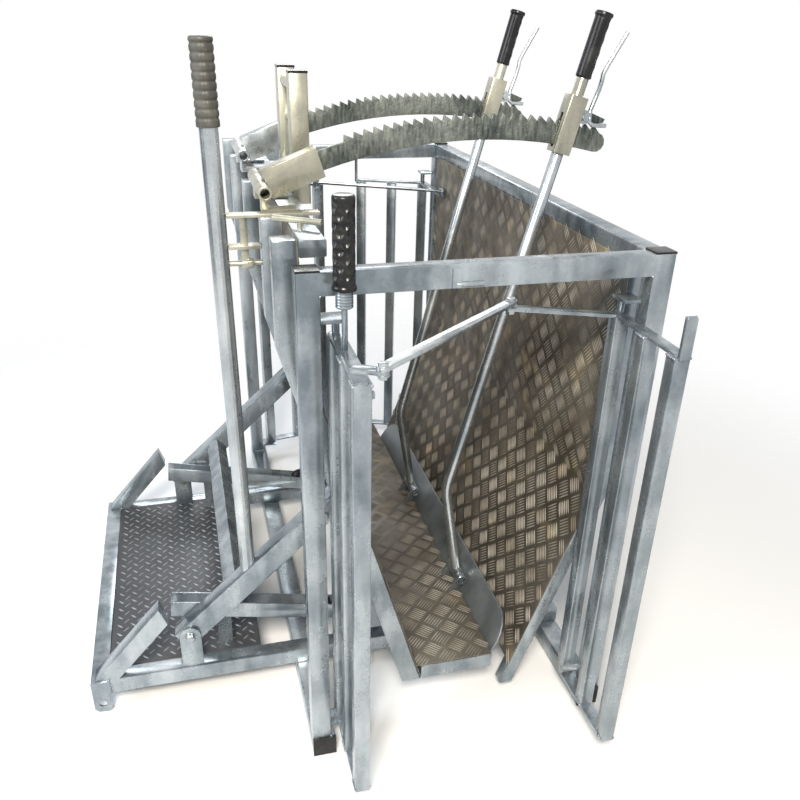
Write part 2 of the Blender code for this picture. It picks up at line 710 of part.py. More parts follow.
def knuckle_pins(crate):
    """Short pins in two seats each on the floor's right side, for the clamp levers."""
    half = 0.012
    for end, middle in LEVER_Y.items():
        near_y, far_y = middle - KNUCKLE_LONG / 2 - GAP, middle + KNUCKLE_LONG / 2 + GAP
        foot = FLOOR_TOP_Z + GAP
        outline = [(KNUCKLE[0] - half - 0.018, foot), (KNUCKLE[0] - 0.002, foot)]
        outline += arc(KNUCKLE, half, 8, -0.3, math.pi + 0.3)
        pin_end = PLATE + 0.006
        start = (KNUCKLE[0], near_y - pin_end, KNUCKLE[1])
        pin = rod(start, (KNUCKLE[0], far_y + pin_end, KNUCKLE[1]), PIN_RADIUS, 12)
        seats = [plate_xz(outline, low_y, low_y + PLATE) for low_y in (near_y - PLATE, far_y)]
        sub_part("knuckle_pin_" + end, welded(pin, *seats), ZINC, crate)


def turnover_arms():
    """The welded carrier of the crate: two arms, a tie between them and strap plates."""
    outer = left_wall_path(0.0)
    wall = (Vector(outer[2]) - Vector(outer[1])).normalized()
    edge = Vector(outer[1]) + Vector((wall.y, -wall.x)) * GAP
    pivot = Vector((PIVOT_X, PIVOT_Z))
    heading, normal = unit(ARM_ANGLE), unit(ARM_ANGLE + math.pi / 2)
    half = ARM_TALL / 2

    def strip(back, wide):
        """A stretch of the arm, from back of its wall end, or its tail, to the ribs."""
        low_start, high_start = pivot - normal * wide, pivot + normal * wide
        low_end = crossing(low_start, heading, edge, wall)
        high_end = crossing(high_start, heading, edge, wall)
        if back is None:
            low, high = low_start - heading * ARM_TAIL, high_start - heading * ARM_TAIL
        else:
            low, high = Vector(low_end) - heading * back, Vector(high_end) - heading * back
        return [tuple(low), low_end, high_end, tuple(high)]

    arm_outline = strip(None, half)
    strap_outline = strip(STRAP_LONG, half - 0.004)
    bolt = Vector(crossing(pivot, heading, edge, wall)) - heading * STRAP_LONG * 0.6
    pieces = []
    arms = spans(ARM_NEAR_Y, ARM_WIDE)
    for near_y, far_y in arms.values():
        pieces.append(plate_xz(arm_outline, near_y, far_y))
        pieces.append(plate_xz(strap_outline, near_y - PLATE, near_y + 0.001))
        pieces.append(plate_xz(strap_outline, far_y - 0.001, far_y + PLATE))
        reach = PLATE + 0.006
        start, end = (bolt.x, near_y - reach, bolt.y), (bolt.x, far_y + reach, bolt.y)
        pieces.append(hexagon(start, end, 0.019))
    low = (-TUBE / 2, arms["near"][1] - WELD, -TUBE / 2)
    tie = solid(low, (TUBE / 2, arms["far"][0] + WELD, TUBE / 2), along=1)
    place = pivot + heading * CROSS_TUBE_ALONG
    pieces.append(moved(tie, Matrix.Translation((place.x, 0, place.y)) @ Matrix.Rotation(-ARM_ANGLE, 4, "Y")))
    whole = welded(*pieces)
    hole = rod((PIVOT_X, 0, PIVOT_Z), (PIVOT_X, LENGTH, PIVOT_Z), BOLT_RADIUS + GAP, 12)
    return sub_part("turnover_arms", cut(whole, hole), ZINC, axis=(PIVOT_X, MIDDLE_Y, PIVOT_Z))


def operator_lever(crate):
    """The tall lever on the near arm with its ribbed grip."""
    middle = ARM_NEAR_Y + ARM_WIDE / 2
    foot = Vector((PIVOT_X, PIVOT_Z)) + unit(ARM_ANGLE) * OPERATOR_ALONG
    base = Vector((foot.x, middle, foot.y))
    top = Vector((OPERATOR_TOP[0], middle, OPERATOR_TOP[1]))
    face = base.copy()
    square = unit(ARM_ANGLE + math.pi / 2)
    normal = Vector((square.x, 0, square.y))
    face += normal * (ARM_TALL / 2 + GAP)
    lever = rod(base, top, OPERATOR_RADIUS, 20)
    geometry = list(lever.verts) + list(lever.edges) + list(lever.faces)
    bmesh.ops.bisect_plane(lever, geom=geometry, plane_co=face, plane_no=normal, clear_inner=True)
    bmesh.ops.holes_fill(lever, edges=[edge for edge in lever.edges if edge.is_boundary])
    sub_part("operator_lever", lever, ZINC, crate, True)
    up = (top - base).normalized()
    inner = OPERATOR_RADIUS + GAP
    outer = OPERATOR_GRIP_RADIUS
    long = OPERATOR_GRIP_LONG + 0.006
    ribs = 9
    pitch = (long - 0.020) / ribs
    profile = [(0.0, long), (outer - 0.004, long), (outer, long - 0.004)]
    for rib in range(ribs):
        height = long - 0.012 - rib * pitch
        profile += [(outer, height), (outer - 0.0012, height - pitch * 0.25), (outer, height - pitch * 0.5)]
    seat = OPERATOR_GRIP_LONG + GAP
    profile += [(outer, 0.0), (inner, 0.0), (inner, seat), (0.0, seat)]
    turn = up.to_track_quat("Z", "Y").to_matrix().to_4x4()
    place = Matrix.Translation(top - up * OPERATOR_GRIP_LONG) @ turn
    sub_part("operator_grip", turned(profile, place, 20), RUBBER, crate, True)
    lever_stays(crate, base, top, middle)


def lever_stays(crate, base, top, middle):
    """Two flats, an upright and a stop bolt that tie the lever to the wall."""
    flat = 0.006
    half = 0.013
    touch = OPERATOR_RADIUS + GAP
    upper, lower, bolt_z = LEFT_TOP_Z + GAP, LEFT_TOP_Z - 0.057, LEFT_TOP_Z - 0.086
    wall_x = LEFT_OUTER_X - GAP

    def right_of_lever(z):
        return base.x + (top.x - base.x) * (z - base.z) / (top.z - base.z) + touch

    bar_x = (right_of_lever(upper) + wall_x) / 2
    pieces = [solid((right_of_lever(upper), middle - half, upper), (0.086, middle + half, upper + flat))]
    pieces.append(solid((right_of_lever(lower), middle - half, lower), (wall_x, middle + half, lower + flat)))
    low = (bar_x - 0.007, middle - 0.004, bolt_z - 0.010)
    pieces.append(solid(low, (bar_x + 0.007, middle + 0.004, upper + 0.001)))
    pieces.append(rod((right_of_lever(bolt_z), middle, bolt_z), (wall_x, middle, bolt_z), 0.005, 12))
    pieces.append(hexagon((bar_x + 0.004, middle, bolt_z), (bar_x + 0.015, middle, bolt_z), 0.017))
    sub_part("lever_stays", welded(*pieces), STEEL, crate)


def rack_outline():
    """A toothed arc about the lever's knuckle: saw teeth above, a plain edge below."""
    outline = [polar(RACK_ROOT_R, RACK_LEFT)]
    for tooth in range(TOOTH_COUNT, 0, -1):
        start = TEETH_RIGHT - tooth * TOOTH_PITCH
        outline.append(polar(RACK_ROOT_R, start))
        outline.append(polar(RACK_TIP_R, start + TOOTH_PITCH * 0.18))
        outline.append(polar(RACK_ROOT_R + 0.001, start + TOOTH_PITCH * 0.95))
    half = (RACK_ROOT_R - RACK_INNER_R) / 2
    nose = polar(RACK_INNER_R + half, TEETH_RIGHT)
    outline += arc(nose, half, 6, math.pi / 2 - TEETH_RIGHT, -math.pi)
    steps = 14
    for step in range(1, steps + 1):
        outline.append(polar(RACK_INNER_R, TEETH_RIGHT + (RACK_LEFT - TEETH_RIGHT) * step / steps))
    return outline


def racks(crate):
    """The two racks, each held by a box arm on an eye that sits on the wall's rail."""
    outline = rack_outline()
    rack_end = Vector(polar((RACK_INNER_R + RACK_ROOT_R) / 2, RACK_LEFT))
    eye = Vector(EYE)
    along = (rack_end - eye).normalized()
    normal = Vector((-along.y, along.x))
    start = eye + along * (EYE_RADIUS - 0.002)
    edge = rack_end - along * GAP
    radial = Vector(polar(1.0, RACK_LEFT, (0, 0)))
    shape = []
    for side in (-RACK_ARM_TALL / 2, RACK_ARM_TALL / 2):
        low = start + normal * side
        shape.append((tuple(low), crossing(low, along, edge, radial)))
    arm_outline = [shape[0][0], shape[0][1], shape[1][1], shape[1][0]]
    base_z = LEFT_TOP_Z + GAP
    web = 0.006
    for end, middle in LEVER_Y.items():
        rack = plate_xz(outline, middle - RACK_THICK / 2, middle + RACK_THICK / 2)
        sub_part("rack_" + end, rack, DULL, crate)
        half = RACK_ARM_WIDE / 2
        pieces = [plate_xz(arm_outline, middle - half, middle + half)]
        low_y = middle - 0.080
        pieces.append(plate_xz(arc(EYE, EYE_RADIUS, 20), low_y, low_y + EYE_LONG, [arc(EYE, EYE_BORE, 20)]))
        for seat_y in (middle - 0.072, middle + 0.062):
            low = (EYE[0] - web, seat_y, base_z)
            pieces.append(solid(low, (0.050, seat_y + RACK_ARM_WIDE, base_z + web)))
            high = (EYE[0] + web, seat_y + RACK_ARM_WIDE, EYE[1] - EYE_BORE - 0.002)
            pieces.append(solid(low, high))
        sub_part("rack_arm_" + end, welded(*pieces), STEEL, crate)


def guide_posts(crate):
    """Two posts on the inner side of the rail with a roller and a bolt between them."""
    left = left_wall_path(RIB_DEEP + GAP + SHEET)[0][0] + GAP + RAIL_WIDE + GAP
    pieces = []
    for low_y in (GUIDE_NEAR_Y, GUIDE_FAR_Y):
        high = (left + GUIDE_SIDE, low_y + GUIDE_SIDE, GUIDE_TOP_Z)
        pieces.append(solid((left, low_y, GUIDE_LOW_Z), high, along=2))
    middle_x = left + GUIDE_SIDE / 2
    near_y, far_y = GUIDE_NEAR_Y + GUIDE_SIDE, GUIDE_FAR_Y
    roller_z, bolt_z = GUIDE_TOP_Z - 0.026, GUIDE_TOP_Z - 0.100
    for height in (roller_z, bolt_z):
        start, end = (middle_x, near_y - WELD, height), (middle_x, far_y + WELD, height)
        pieces.append(rod(start, end, BOLT_RADIUS, 12))
    sub_part("guide_posts", welded(*pieces), STEEL, crate)
    half = (far_y - near_y) / 2 - GAP
    bore = BOLT_RADIUS + 2 * GAP
    radius = 0.015
    profile = [(bore, half), (radius, half), (radius, -half), (bore, -half), (bore, half)]
    axis = (middle_x, (near_y + far_y) / 2, roller_z)
    spool = turned(profile, Matrix.Translation(axis) @ Matrix.Rotation(math.pi / 2, 4, "X"), 20)
    sub_part("guide_roller", spool, STEEL, crate, True, axis)


def lever_point(radius):
    """Where the straight run of a clamp lever is this far from its knuckle."""
    start = Vector(LEVER_BEND)
    up = unit(math.pi / 2 - LEVER_LEAN)
    along = math.sqrt(start.dot(up) ** 2 - start.length_squared + radius ** 2) - start.dot(up)
    return Vector(KNUCKLE) + start + up * along


def clamp_lever(end, middle, crate):
    """One clamp lever: knuckle and bent tube, slotted box with a stub, and a grip."""
    foot = Vector(KNUCKLE)
    bend = foot + Vector(LEVER_BEND)
    up = unit(math.pi / 2 - LEVER_LEAN)
    start = foot + (bend - foot).normalized() * (KNUCKLE_RADIUS - 0.003)
    tube = bent_rod(rounded_path([start, bend, lever_point(BOX_BOTTOM_R)], 0.030), middle, LEVER_RADIUS, 3)
    half = KNUCKLE_LONG / 2
    ring = plate_xz(arc(KNUCKLE, KNUCKLE_RADIUS, 20), middle - half, middle + half)
    bore = rod((foot.x, middle - TUBE, foot.y), (foot.x, middle + TUBE, foot.y), PIN_RADIUS + GAP, 16)
    axis = (foot.x, middle, foot.y)
    lever = sub_part("clamp_lever_" + end, cut(welded(ring, tube), bore), ZINC, crate, True, axis)
    low = lever_point(BOX_BOTTOM_R) + up * GAP
    long = (lever_point(BOX_TOP_R) - low).length
    lean = Matrix.Translation((low.x, middle, low.y)) @ Matrix.Rotation(LEVER_LEAN, 4, "Y")
    side = BOX_SIDE / 2
    hollow = side - BOX_WALL
    shell = solid((-side, -side, 0), (side, side, long), along=2)
    core = solid((-hollow, -hollow, BOX_WALL), (hollow, hollow, long - BOX_WALL))
    slot_half = RACK_THICK / 2 + SLOT_SPARE
    slot_low, slot_high = BOX_BELOW_RACK / 2, RACK_TIP_R - BOX_BOTTOM_R + 0.010
    slot = solid((-TUBE, -slot_half, slot_low), (TUBE, slot_half, slot_high))
    housing = moved(cut(shell, core, slot), lean)
    grip_low = lever_point(BOX_TOP_R) + up * STUB_NECK
    seat = GRIP_LONG - 0.004
    stub_start, stub_end = lever_point(BOX_TOP_R) - up * BOX_WALL / 2, grip_low + up * seat
    stub = rod((stub_start.x, middle, stub_start.y), (stub_end.x, middle, stub_end.y), LEVER_RADIUS, 16)
    box = welded(housing, stub, *trigger_fork(middle, low, up))
    sub_part("clamp_box_" + end, box, STEEL, lever)
    inner = LEVER_RADIUS + GAP
    outer, lip = GRIP_RADIUS - 0.001, GRIP_RADIUS + 0.001
    profile = [(0.0, GRIP_LONG), (outer - 0.002, GRIP_LONG)]
    profile += [(lip, GRIP_LONG - 0.004), (lip, GRIP_LONG - 0.009), (outer, GRIP_LONG - 0.012)]
    profile += [(outer, 0.012), (lip, 0.008), (lip, 0.0)]
    profile += [(inner, 0.0), (inner, seat + GAP), (0.0, seat + GAP)]
    place = Matrix.Translation((grip_low.x, middle, grip_low.y)) @ Matrix.Rotation(LEVER_LEAN, 4, "Y")
    sub_part("clamp_grip_" + end, turned(profile, place, 20), RUBBER, lever, True)
    return lever


def trigger_fork(middle, low, up):
    """Two ears on the slotted box and the pin through them, for the trigger."""
    pivot = Vector(TRIGGER_PIVOT)
    right = Vector((up.y, -up.x))
    offset = pivot - low
    base = low + up * offset.dot(up) + right * (BOX_SIDE / 2 - BOX_WALL / 2)
    ear = 0.0065
    outline = [tuple(base + up * 0.009), tuple(base - up * 0.009)]
    start = math.atan2(-up.y, -up.x)
    outline += arc(TRIGGER_PIVOT, ear, 8, start, math.pi)
    inner = RACK_THICK / 2 + 2 * GAP
    pieces = []
    for near_y, far_y in ((middle - inner - SHEET, middle - inner), (middle + inner, middle + inner + SHEET)):
        pieces.append(plate_xz(outline, near_y, far_y))
    pin_half = inner + SHEET + 0.002
    ends = [(pivot.x, middle + side, pivot.y) for side in (-pin_half, pin_half)]
    pieces.append(rod(*ends, TRIGGER_PIN_RADIUS, 10))
    return pieces


def trigger(end, middle, lever):
    """The pawl, its nose resting just clear of the teeth's tips, with its squeeze rod."""
    pivot = Vector(TRIGGER_PIVOT)
    steep = TEETH_RIGHT - TOOTH_PITCH
    nose = [polar(RACK_TIP_R + PAWL_SPARE, steep - TOOTH_PITCH * 0.33)]
    nose.append(polar(RACK_TIP_R + PAWL_SPARE, steep - TOOTH_PITCH * 0.06))
    nose.append(polar(RACK_TIP_R + 0.0025, steep + TOOTH_PITCH * 0.10))
    eye = 0.0065
    outline = arc(TRIGGER_PIVOT, eye, 8, math.pi / 2 - 0.1, math.pi)
    outline.append(polar(RACK_TIP_R + 0.0025, steep - TOOTH_PITCH * 0.45))
    outline += nose
    outline += [(pivot.x + 0.046, pivot.y - 0.012), (pivot.x + 0.050, pivot.y - 0.005)]
    outline.append((pivot.x + 0.020, pivot.y + 0.0065))
    bore = arc(TRIGGER_PIVOT, TRIGGER_PIN_RADIUS + GAP, 10)
    pawl = plate_xz(outline, middle - RACK_THICK / 2, middle + RACK_THICK / 2, [bore])
    corners = [(0.013, -0.002), (0.030, 0.050), (0.035, 0.079), (0.076, 0.154)]
    path = rounded_path([pivot + Vector(corner) for corner in corners], 0.012, 3)
    handle = bent_rod(path, middle, TRIGGER_ROD_RADIUS)
    axis = (pivot.x, middle, pivot.y)
    sub_part("trigger_" + end, welded(pawl, handle), STEEL, lever, True, axis)


def flat_bar(points, wide, low_z, high_z, holes=()):
    """A flat bar along a bent line on the level, with round ends."""
    left = offset_path(points, -wide / 2)
    right = offset_path(points, wide / 2)
    first, last = Vector(points[0]), Vector(points[-1])
    back, ahead = first - Vector(points[1]), last - Vector(points[-2])
    outline = right[1:-1]
    outline += arc(points[-1], wide / 2, 8, math.atan2(ahead.y, ahead.x) - math.pi / 2, math.pi)
    outline += left[-2:0:-1]
    outline += arc(points[0], wide / 2, 8, math.atan2(back.y, back.x) - math.pi / 2, math.pi)
    return plate_xy(outline, low_z, high_z, holes)


def gate_bars(hinge, angle):
    """Three uprights of one leaf and the flat under them."""
    half = GATE_BAR / 2
    turn = Matrix.Translation((*hinge, 0)) @ Matrix.Rotation(angle, 4, "Z")
    pieces = []
    for index in range(3):
        x = index * GATE_PITCH
        low = (x - half, -half, GATE_BOTTOM_Z + 0.002)
        pieces.append(moved(solid(low, (x + half, half, GATE_TOP_Z + 0.002), along=2), turn))
    low = (0.001 - half, 0.001 - half, GATE_BOTTOM_Z)
    high = (2 * GATE_PITCH + half - 0.001, half - 0.001, GATE_BOTTOM_Z + GATE_FLAT)
    pieces.append(moved(solid(low, high), turn))
    return pieces


def hinge_bores(hinge):
    """Round holes in a leaf's hinge upright, for the pins of the lugs."""
    radius = HINGE_RADIUS + GAP
    top = GATE_TOP_Z + GATE_FLAT
    upper = rod((*hinge, top - HINGE_DEEP - GAP), (*hinge, top + GATE_FLAT), radius)
    lower = rod((*hinge, 0.0), (*hinge, GATE_BOTTOM_Z + HINGE_DEEP), radius)
    return [upper, lower]


def gate(end, hinge_y, angles, pins):
    """A pair of gate leaves with the link bar between them."""
    left, right = (GATE_LEFT_X, hinge_y), (GATE_RIGHT_X, hinge_y)
    pin_left = Vector(left) + unit(pins[0]) * PIN_LEFT_R
    pin_right = Vector(right) + unit(pins[1]) * PIN_RIGHT_R
    top = GATE_TOP_Z
    ear_z = top + GATE_FLAT - 0.001
    link_z = ear_z + GATE_FLAT + GAP
    hole = LINK_PIN_RADIUS + GAP
    tip = Vector(left) + unit(angles[0]) * 2 * GATE_PITCH
    knee = Vector(left) + unit(angles[0]) * PIN_LEFT_R * 0.86
    pieces = gate_bars(left, angles[0])
    if end == "near":
        pieces += bolt_rod(left, angles[0])
    pieces.append(flat_bar([left, tuple(tip)], GATE_BAR - 0.002, top, top + GATE_FLAT))
    ear_hole = arc(pin_left, hole, 12)
    pieces.append(flat_bar([tuple(knee), tuple(pin_left)], LINK_WIDE, ear_z, ear_z + GATE_FLAT, [ear_hole]))
    leaf = cut(welded(*pieces), *hinge_bores(left))
    left_leaf = sub_part("gate_left_" + end, leaf, ZINC, axis=(*left, 0))
    tip = Vector(right) + unit(angles[1]) * 2 * GATE_PITCH
    pieces = gate_bars(right, angles[1])
    line = [tuple(tip), right, tuple(pin_right)]
    pieces.append(flat_bar(line, LINK_WIDE, top, top + GATE_FLAT))
    stud_low, stud_high = (*pin_right, top + GATE_FLAT / 2), (*pin_right, link_z - GAP)
    pieces.append(rod(stud_low, stud_high, LINK_PIN_RADIUS, 12))
    turn = Matrix.Translation((*right, 0)) @ Matrix.Rotation(angles[1], 4, "Z")
    reach = 2 * GATE_PITCH + GATE_BAR / 2
    tab = solid((reach - 0.001, -0.011, top - 0.060), (reach + PLATE, 0.011, top + 0.075))
    pieces.append(moved(tab, turn))
    leaf = cut(welded(*pieces), *hinge_bores(right))
    sub_part("gate_right_" + end, leaf, ZINC, axis=(*right, 0))
    bar = flat_bar([tuple(pin_left), tuple(pin_right)], LINK_WIDE, link_z, link_z + GATE_FLAT)
    head_z = link_z + GATE_FLAT
    pieces = [bar, rod((*pin_left, ear_z + 0.001), (*pin_left, link_z + 0.001), LINK_PIN_RADIUS, 12)]
    for place in (pin_left, pin_right):
        pieces.append(hexagon((*place, head_z - 0.001), (*place, head_z + 0.006), 0.016))
    sub_part("gate_link_" + end, welded(*pieces), STEEL, left_leaf, axis=(*pin_left, link_z))


def bolt_rod(hinge, angle):
    """The lower half of the bolt on the near leaf: a round rod held by two hexagon screws."""
    along = unit(angle)
    place = Vector(hinge) + along * HANDLE_ALONG
    pieces = [rod((*place, HANDLE_LOW_Z), (*place, GATE_TOP_Z + 0.002), HANDLE_RADIUS, 12)]
    for height in (HANDLE_LOW_Z + 0.066, HANDLE_LOW_Z + 0.130):
        head = place - along * 0.002
        pieces.append(hexagon((*head, height), (*(head - along * 0.009), height), 0.014))
    return pieces


def gate_bolt():
    """The upper half of the bolt on the near top rail, in line with the open leaf's rod."""
    place = (GATE_LEFT_X, HANDLE_Y)
    collar_low, collar_top = COLLAR_Z
    half = 0.008
    low = (GATE_LEFT_X - half, HANDLE_Y + COLLAR_RADIUS - WELD, collar_low + 0.014)
    pieces = [rod((*place, collar_low), (*place, collar_top), COLLAR_RADIUS)]
    rod_low = (*place, GATE_TOP_Z + GATE_FLAT + 2 * GAP)
    pieces.append(rod(rod_low, (*place, collar_low + 0.010), HANDLE_RADIUS, 12))
    pieces.append(solid(low, (GATE_LEFT_X + half, -GAP, collar_top - 0.002)))
    sub_part("gate_handle_near", welded(*pieces), ZINC)
    radius = HANDLE_GRIP_RADIUS
    long = HANDLE_GRIP_LONG
    profile = [(0.0, long), (radius - 0.004, long), (radius - 0.001, long - 0.003), (radius - 0.001, 0.010)]
    profile += [(radius + 0.0015, 0.007), (radius + 0.0015, 0.0), (0.0, 0.0)]
    grip = turned(profile, Matrix.Translation((*place, collar_top + GAP)), 20)
    sub_part("gate_grip_near", grip, RUBBER, None, True)


def gates():
    """The front gate stands open and the rear gate shut, as mirrored positions."""
    opened = [math.radians(angle) for angle in (-90, -90)]
    opened_pins = [math.radians(angle) for angle in (-78, 158)]
    turn = [math.radians(angle) for angle in (80, -69)]
    shut = [-(angle + swing) for angle, swing in zip(opened, turn)]
    shut_pins = [-(angle + swing) for angle, swing in zip(opened_pins, turn)]
    gate("near", GATE_IN_Y, opened, opened_pins)
    gate("far", GATE_OUT_Y, shut, shut_pins)
    gate_bolt()


def build():
    skids()
    end_frames()
    top_rail()
    cross_beams()
    platform()
    pivot_bolts()
    roller_tracks()
    right_wall()
    crate = turnover_arms()
    left_wall(crate)
    crate_floor(crate)
    flap(crate)
    knuckle_pins(crate)
    operator_lever(crate)
    racks(crate)
    guide_posts(crate)
    for end, middle in LEVER_Y.items():
        lever = clamp_lever(end, middle, crate)
        trigger(end, middle, lever)
    gates()


build()
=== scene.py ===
# %% [markdown]
# # A sheep handler, dressed for its portrait
#
# A sheep handler is a short race of galvanised square tube. A sheep walks in through the
# rear gate, the operator closes two long clamp levers on it, and the whole crate tips
# over towards the platform so that the feet can be trimmed.
#
# The solids come from a imported CAD model that also knows how each part moves. This
# lesson gives those solids rounded edges, raised tread, weld beads, grips and finishes.
# It starts by loading the model.

# %% Load the frame
import json
import math

import bmesh
import bpy
from mathutils import Euler, Matrix, Vector


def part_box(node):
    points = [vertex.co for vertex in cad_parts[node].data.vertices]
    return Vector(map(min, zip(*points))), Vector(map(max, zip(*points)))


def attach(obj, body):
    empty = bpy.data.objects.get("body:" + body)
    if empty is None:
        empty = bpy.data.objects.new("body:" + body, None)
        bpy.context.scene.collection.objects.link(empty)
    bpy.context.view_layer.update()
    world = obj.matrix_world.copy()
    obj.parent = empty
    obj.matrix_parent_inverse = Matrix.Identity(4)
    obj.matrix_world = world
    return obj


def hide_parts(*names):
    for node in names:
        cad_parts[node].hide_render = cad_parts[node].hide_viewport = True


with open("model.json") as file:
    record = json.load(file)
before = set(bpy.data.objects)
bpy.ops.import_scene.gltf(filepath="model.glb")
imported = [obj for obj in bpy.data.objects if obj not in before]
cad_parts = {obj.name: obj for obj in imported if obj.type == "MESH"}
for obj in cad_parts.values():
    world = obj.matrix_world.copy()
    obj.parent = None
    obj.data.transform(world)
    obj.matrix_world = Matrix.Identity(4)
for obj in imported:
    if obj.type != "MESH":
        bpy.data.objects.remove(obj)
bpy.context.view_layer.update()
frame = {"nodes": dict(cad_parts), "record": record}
scene = bpy.context.scene

# %% [markdown]
# ## Where things are
#
# The workshop drawing measures from the front left corner of the frame, while the model
# stands with its origin under the middle of the left skid. One small function turns a
# drawing's place into the model's, so that the numbers below read as on the drawing.
# Sizes are in metres. A leaf's turn is in degrees, from the drawing's X axis.

# %% The drawing's corner and the sizes that the pieces share
CORNER = Vector((-0.025, -0.6875, 0.0))
WIDTH = 0.680
LENGTH = 1.375
HEIGHT = 1.086
TUBE = 0.040
SKID = 0.050
RAIL_TOP = 1.083
PIVOT = (-0.240, 0.175)
KNUCKLE = Vector((0.438, 0.168))
LEVER_Y = {"near": 0.360, "far": 0.800}
LEVER_LEAN = math.radians(14.6)
GATE_Y = {"near": 0.060, "far": 1.400}
LEFT_HINGE_X = 0.075
RIGHT_HINGE_X = WIDTH - 0.060
LEFT_LEAF_TURN = {"near": -90, "far": 10}
RIGHT_LEAF_TURN = {"near": -90, "far": 159}
GATE_TOP = 0.951


def at(x, y, z):
    """A place on the drawing, as a place in the model."""
    return CORNER + Vector((x, y, z))


print("front left corner of the frame at", tuple(at(0, 0, 0)))

# %% [markdown]
# ## The camera
#
# The photograph was taken from in front and a little to the left, looking down by almost
# thirty degrees. A camera is easiest to aim with three directions: forward, right and up.
# They are the columns of its matrix, and the small roll turns the last two.

# %% Aim the camera
EYE = Vector((-0.190, -1.9335, 1.4523))
YAW, PITCH, ROLL = 0.2651, 0.4872, 0.0228
FOCAL_PIXELS = 808.2
SENSOR = 36.0
PICTURE = 800.0
SHIFT_X, SHIFT_Y = 0.0037, 0.0496
ahead = math.cos(PITCH)
forward = Vector((math.sin(YAW) * ahead, math.cos(YAW) * ahead, -math.sin(PITCH)))
level = Vector((math.cos(YAW), -math.sin(YAW), 0.0))
upright = level.cross(forward)
right = math.cos(ROLL) * level + math.sin(ROLL) * upright
above = -math.sin(ROLL) * level + math.cos(ROLL) * upright

camera_data = bpy.data.cameras.new("portrait_camera")
camera_data.sensor_width = SENSOR
camera_data.lens = SENSOR * FOCAL_PIXELS / PICTURE
camera_data.shift_x = SHIFT_X
camera_data.shift_y = SHIFT_Y
camera_data.clip_start = 0.05
camera = bpy.data.objects.new("portrait_camera", camera_data)
turn = Matrix((right, above, -forward)).transposed().to_4x4()
camera.matrix_world = Matrix.Translation(EYE) @ turn
scene.collection.objects.link(camera)
scene.camera = camera
print("lens %.2f mm" % camera_data.lens)

# %% [markdown]
# ## Helpers for node trees
#
# The light, the finishes and some of the geometry come from node trees. Three helpers add
# nodes to any of them and give each its inputs, from other nodes or as plain values.

# %% Add nodes to a tree


def join_up(tree, node, values):
    """Give a node its inputs, from sockets or plain values."""
    for label, value in values.items():
        if isinstance(value, bpy.types.NodeSocket):
            tree.links.new(value, node.inputs[label])
        else:
            node.inputs[label].default_value = value
    return node


def add(tree, kind, values):
    """A new node with its inputs."""
    return join_up(tree, tree.nodes.new(kind), values)


def arithmetic(tree, operation, *values):
    """The result of one Math node. It serves in shaders and in geometry."""
    node = tree.nodes.new("ShaderNodeMath")
    node.operation = operation
    return join_up(tree, node, dict(enumerate(values))).outputs[0]


# %% [markdown]
# ## Floor and light
#
# A pale floor and a white surround keep the eye on the metal. The world is white only to
# the camera and to reflections, through the Light Path node, so the steel has something
# bright to mirror while the light that falls on it stays gentle. Three large lamps do
# the rest: a warm key high in front, a cool fill from the left and a rim behind.

# %% The world
SKY_LIGHT = 0.28
world = bpy.data.worlds.new("studio")
scene.world = world
world.use_nodes = True
tree = world.node_tree
tree.nodes.clear()
rays = tree.nodes.new("ShaderNodeLightPath").outputs
mirrored = arithmetic(tree, "MAXIMUM", rays["Is Glossy Ray"], rays["Is Transmission Ray"])
seen = arithmetic(tree, "MAXIMUM", rays["Is Camera Ray"], mirrored)
lit = add(tree, "ShaderNodeBackground", {"Color": (0.86, 0.93, 1.0, 1.0), "Strength": SKY_LIGHT})
shown = add(tree, "ShaderNodeBackground", {"Color": (1.0, 1.0, 1.0, 1.0), "Strength": 1.0})
choice = add(tree, "ShaderNodeMixShader", {0: seen, 1: lit.outputs[0], 2: shown.outputs[0]})
add(tree, "ShaderNodeOutputWorld", {"Surface": choice.outputs[0]})
print("world light", SKY_LIGHT)

# %% The lamps


def lamp(name, place, target, size, power, colour):
    """A square area lamp that looks at a target."""
    data = bpy.data.lights.new(name, "AREA")
    data.size = size
    data.energy = power
    data.color = colour
    thing = bpy.data.objects.new(name, data)
    thing.location = place
    thing.rotation_euler = (Vector(target) - Vector(place)).to_track_quat("-Z", "Y").to_euler()
    scene.collection.objects.link(thing)
    print(name, "lamp:", power, "watts")


MIDDLE = Vector((0.15, 0.0, 0.6))
lamp("key", (-0.7, -3.0, 3.0), MIDDLE, size=1.0, power=190, colour=(1.0, 0.93, 0.82))
lamp("fill", (-2.7, -0.6, 2.0), MIDDLE, size=1.6, power=60, colour=(0.82, 0.90, 1.0))
lamp("rim", (0.6, 3.0, 2.8), MIDDLE, size=1.6, power=55, colour=(1.0, 1.0, 1.0))

# %% [markdown]
# Steel shows what stands round it. With white on every side all of its faces look the
# same, so photographers put a dark card, called a flag, beside it. Two flags stand here,
# hidden from the camera. The large one gives the left faces of the tubes their slate tone.

# %% The flags


def flag(name, place, wide, tall, turn, colour):
    """A dark upright card that the camera doesn't see and that casts no shadow."""
    mesh = bpy.data.meshes.new(name)
    half = wide / 2
    corners = [(-half, 0, 0), (half, 0, 0), (half, 0, tall), (-half, 0, tall)]
    mesh.from_pydata(corners, [], [(0, 1, 2, 3)])
    card = bpy.data.objects.new(name, mesh)
    card.location = place
    card.rotation_euler = (0, 0, turn)
    look = bpy.data.materials.new(name)
    look.use_nodes = True
    matt = look.node_tree.nodes["Principled BSDF"]
    matt.inputs["Base Color"].default_value = (*colour, 1.0)
    matt.inputs["Roughness"].default_value = 0.9
    mesh.materials.append(look)
    scene.collection.objects.link(card)
    card.visible_camera = False
    card.visible_shadow = False


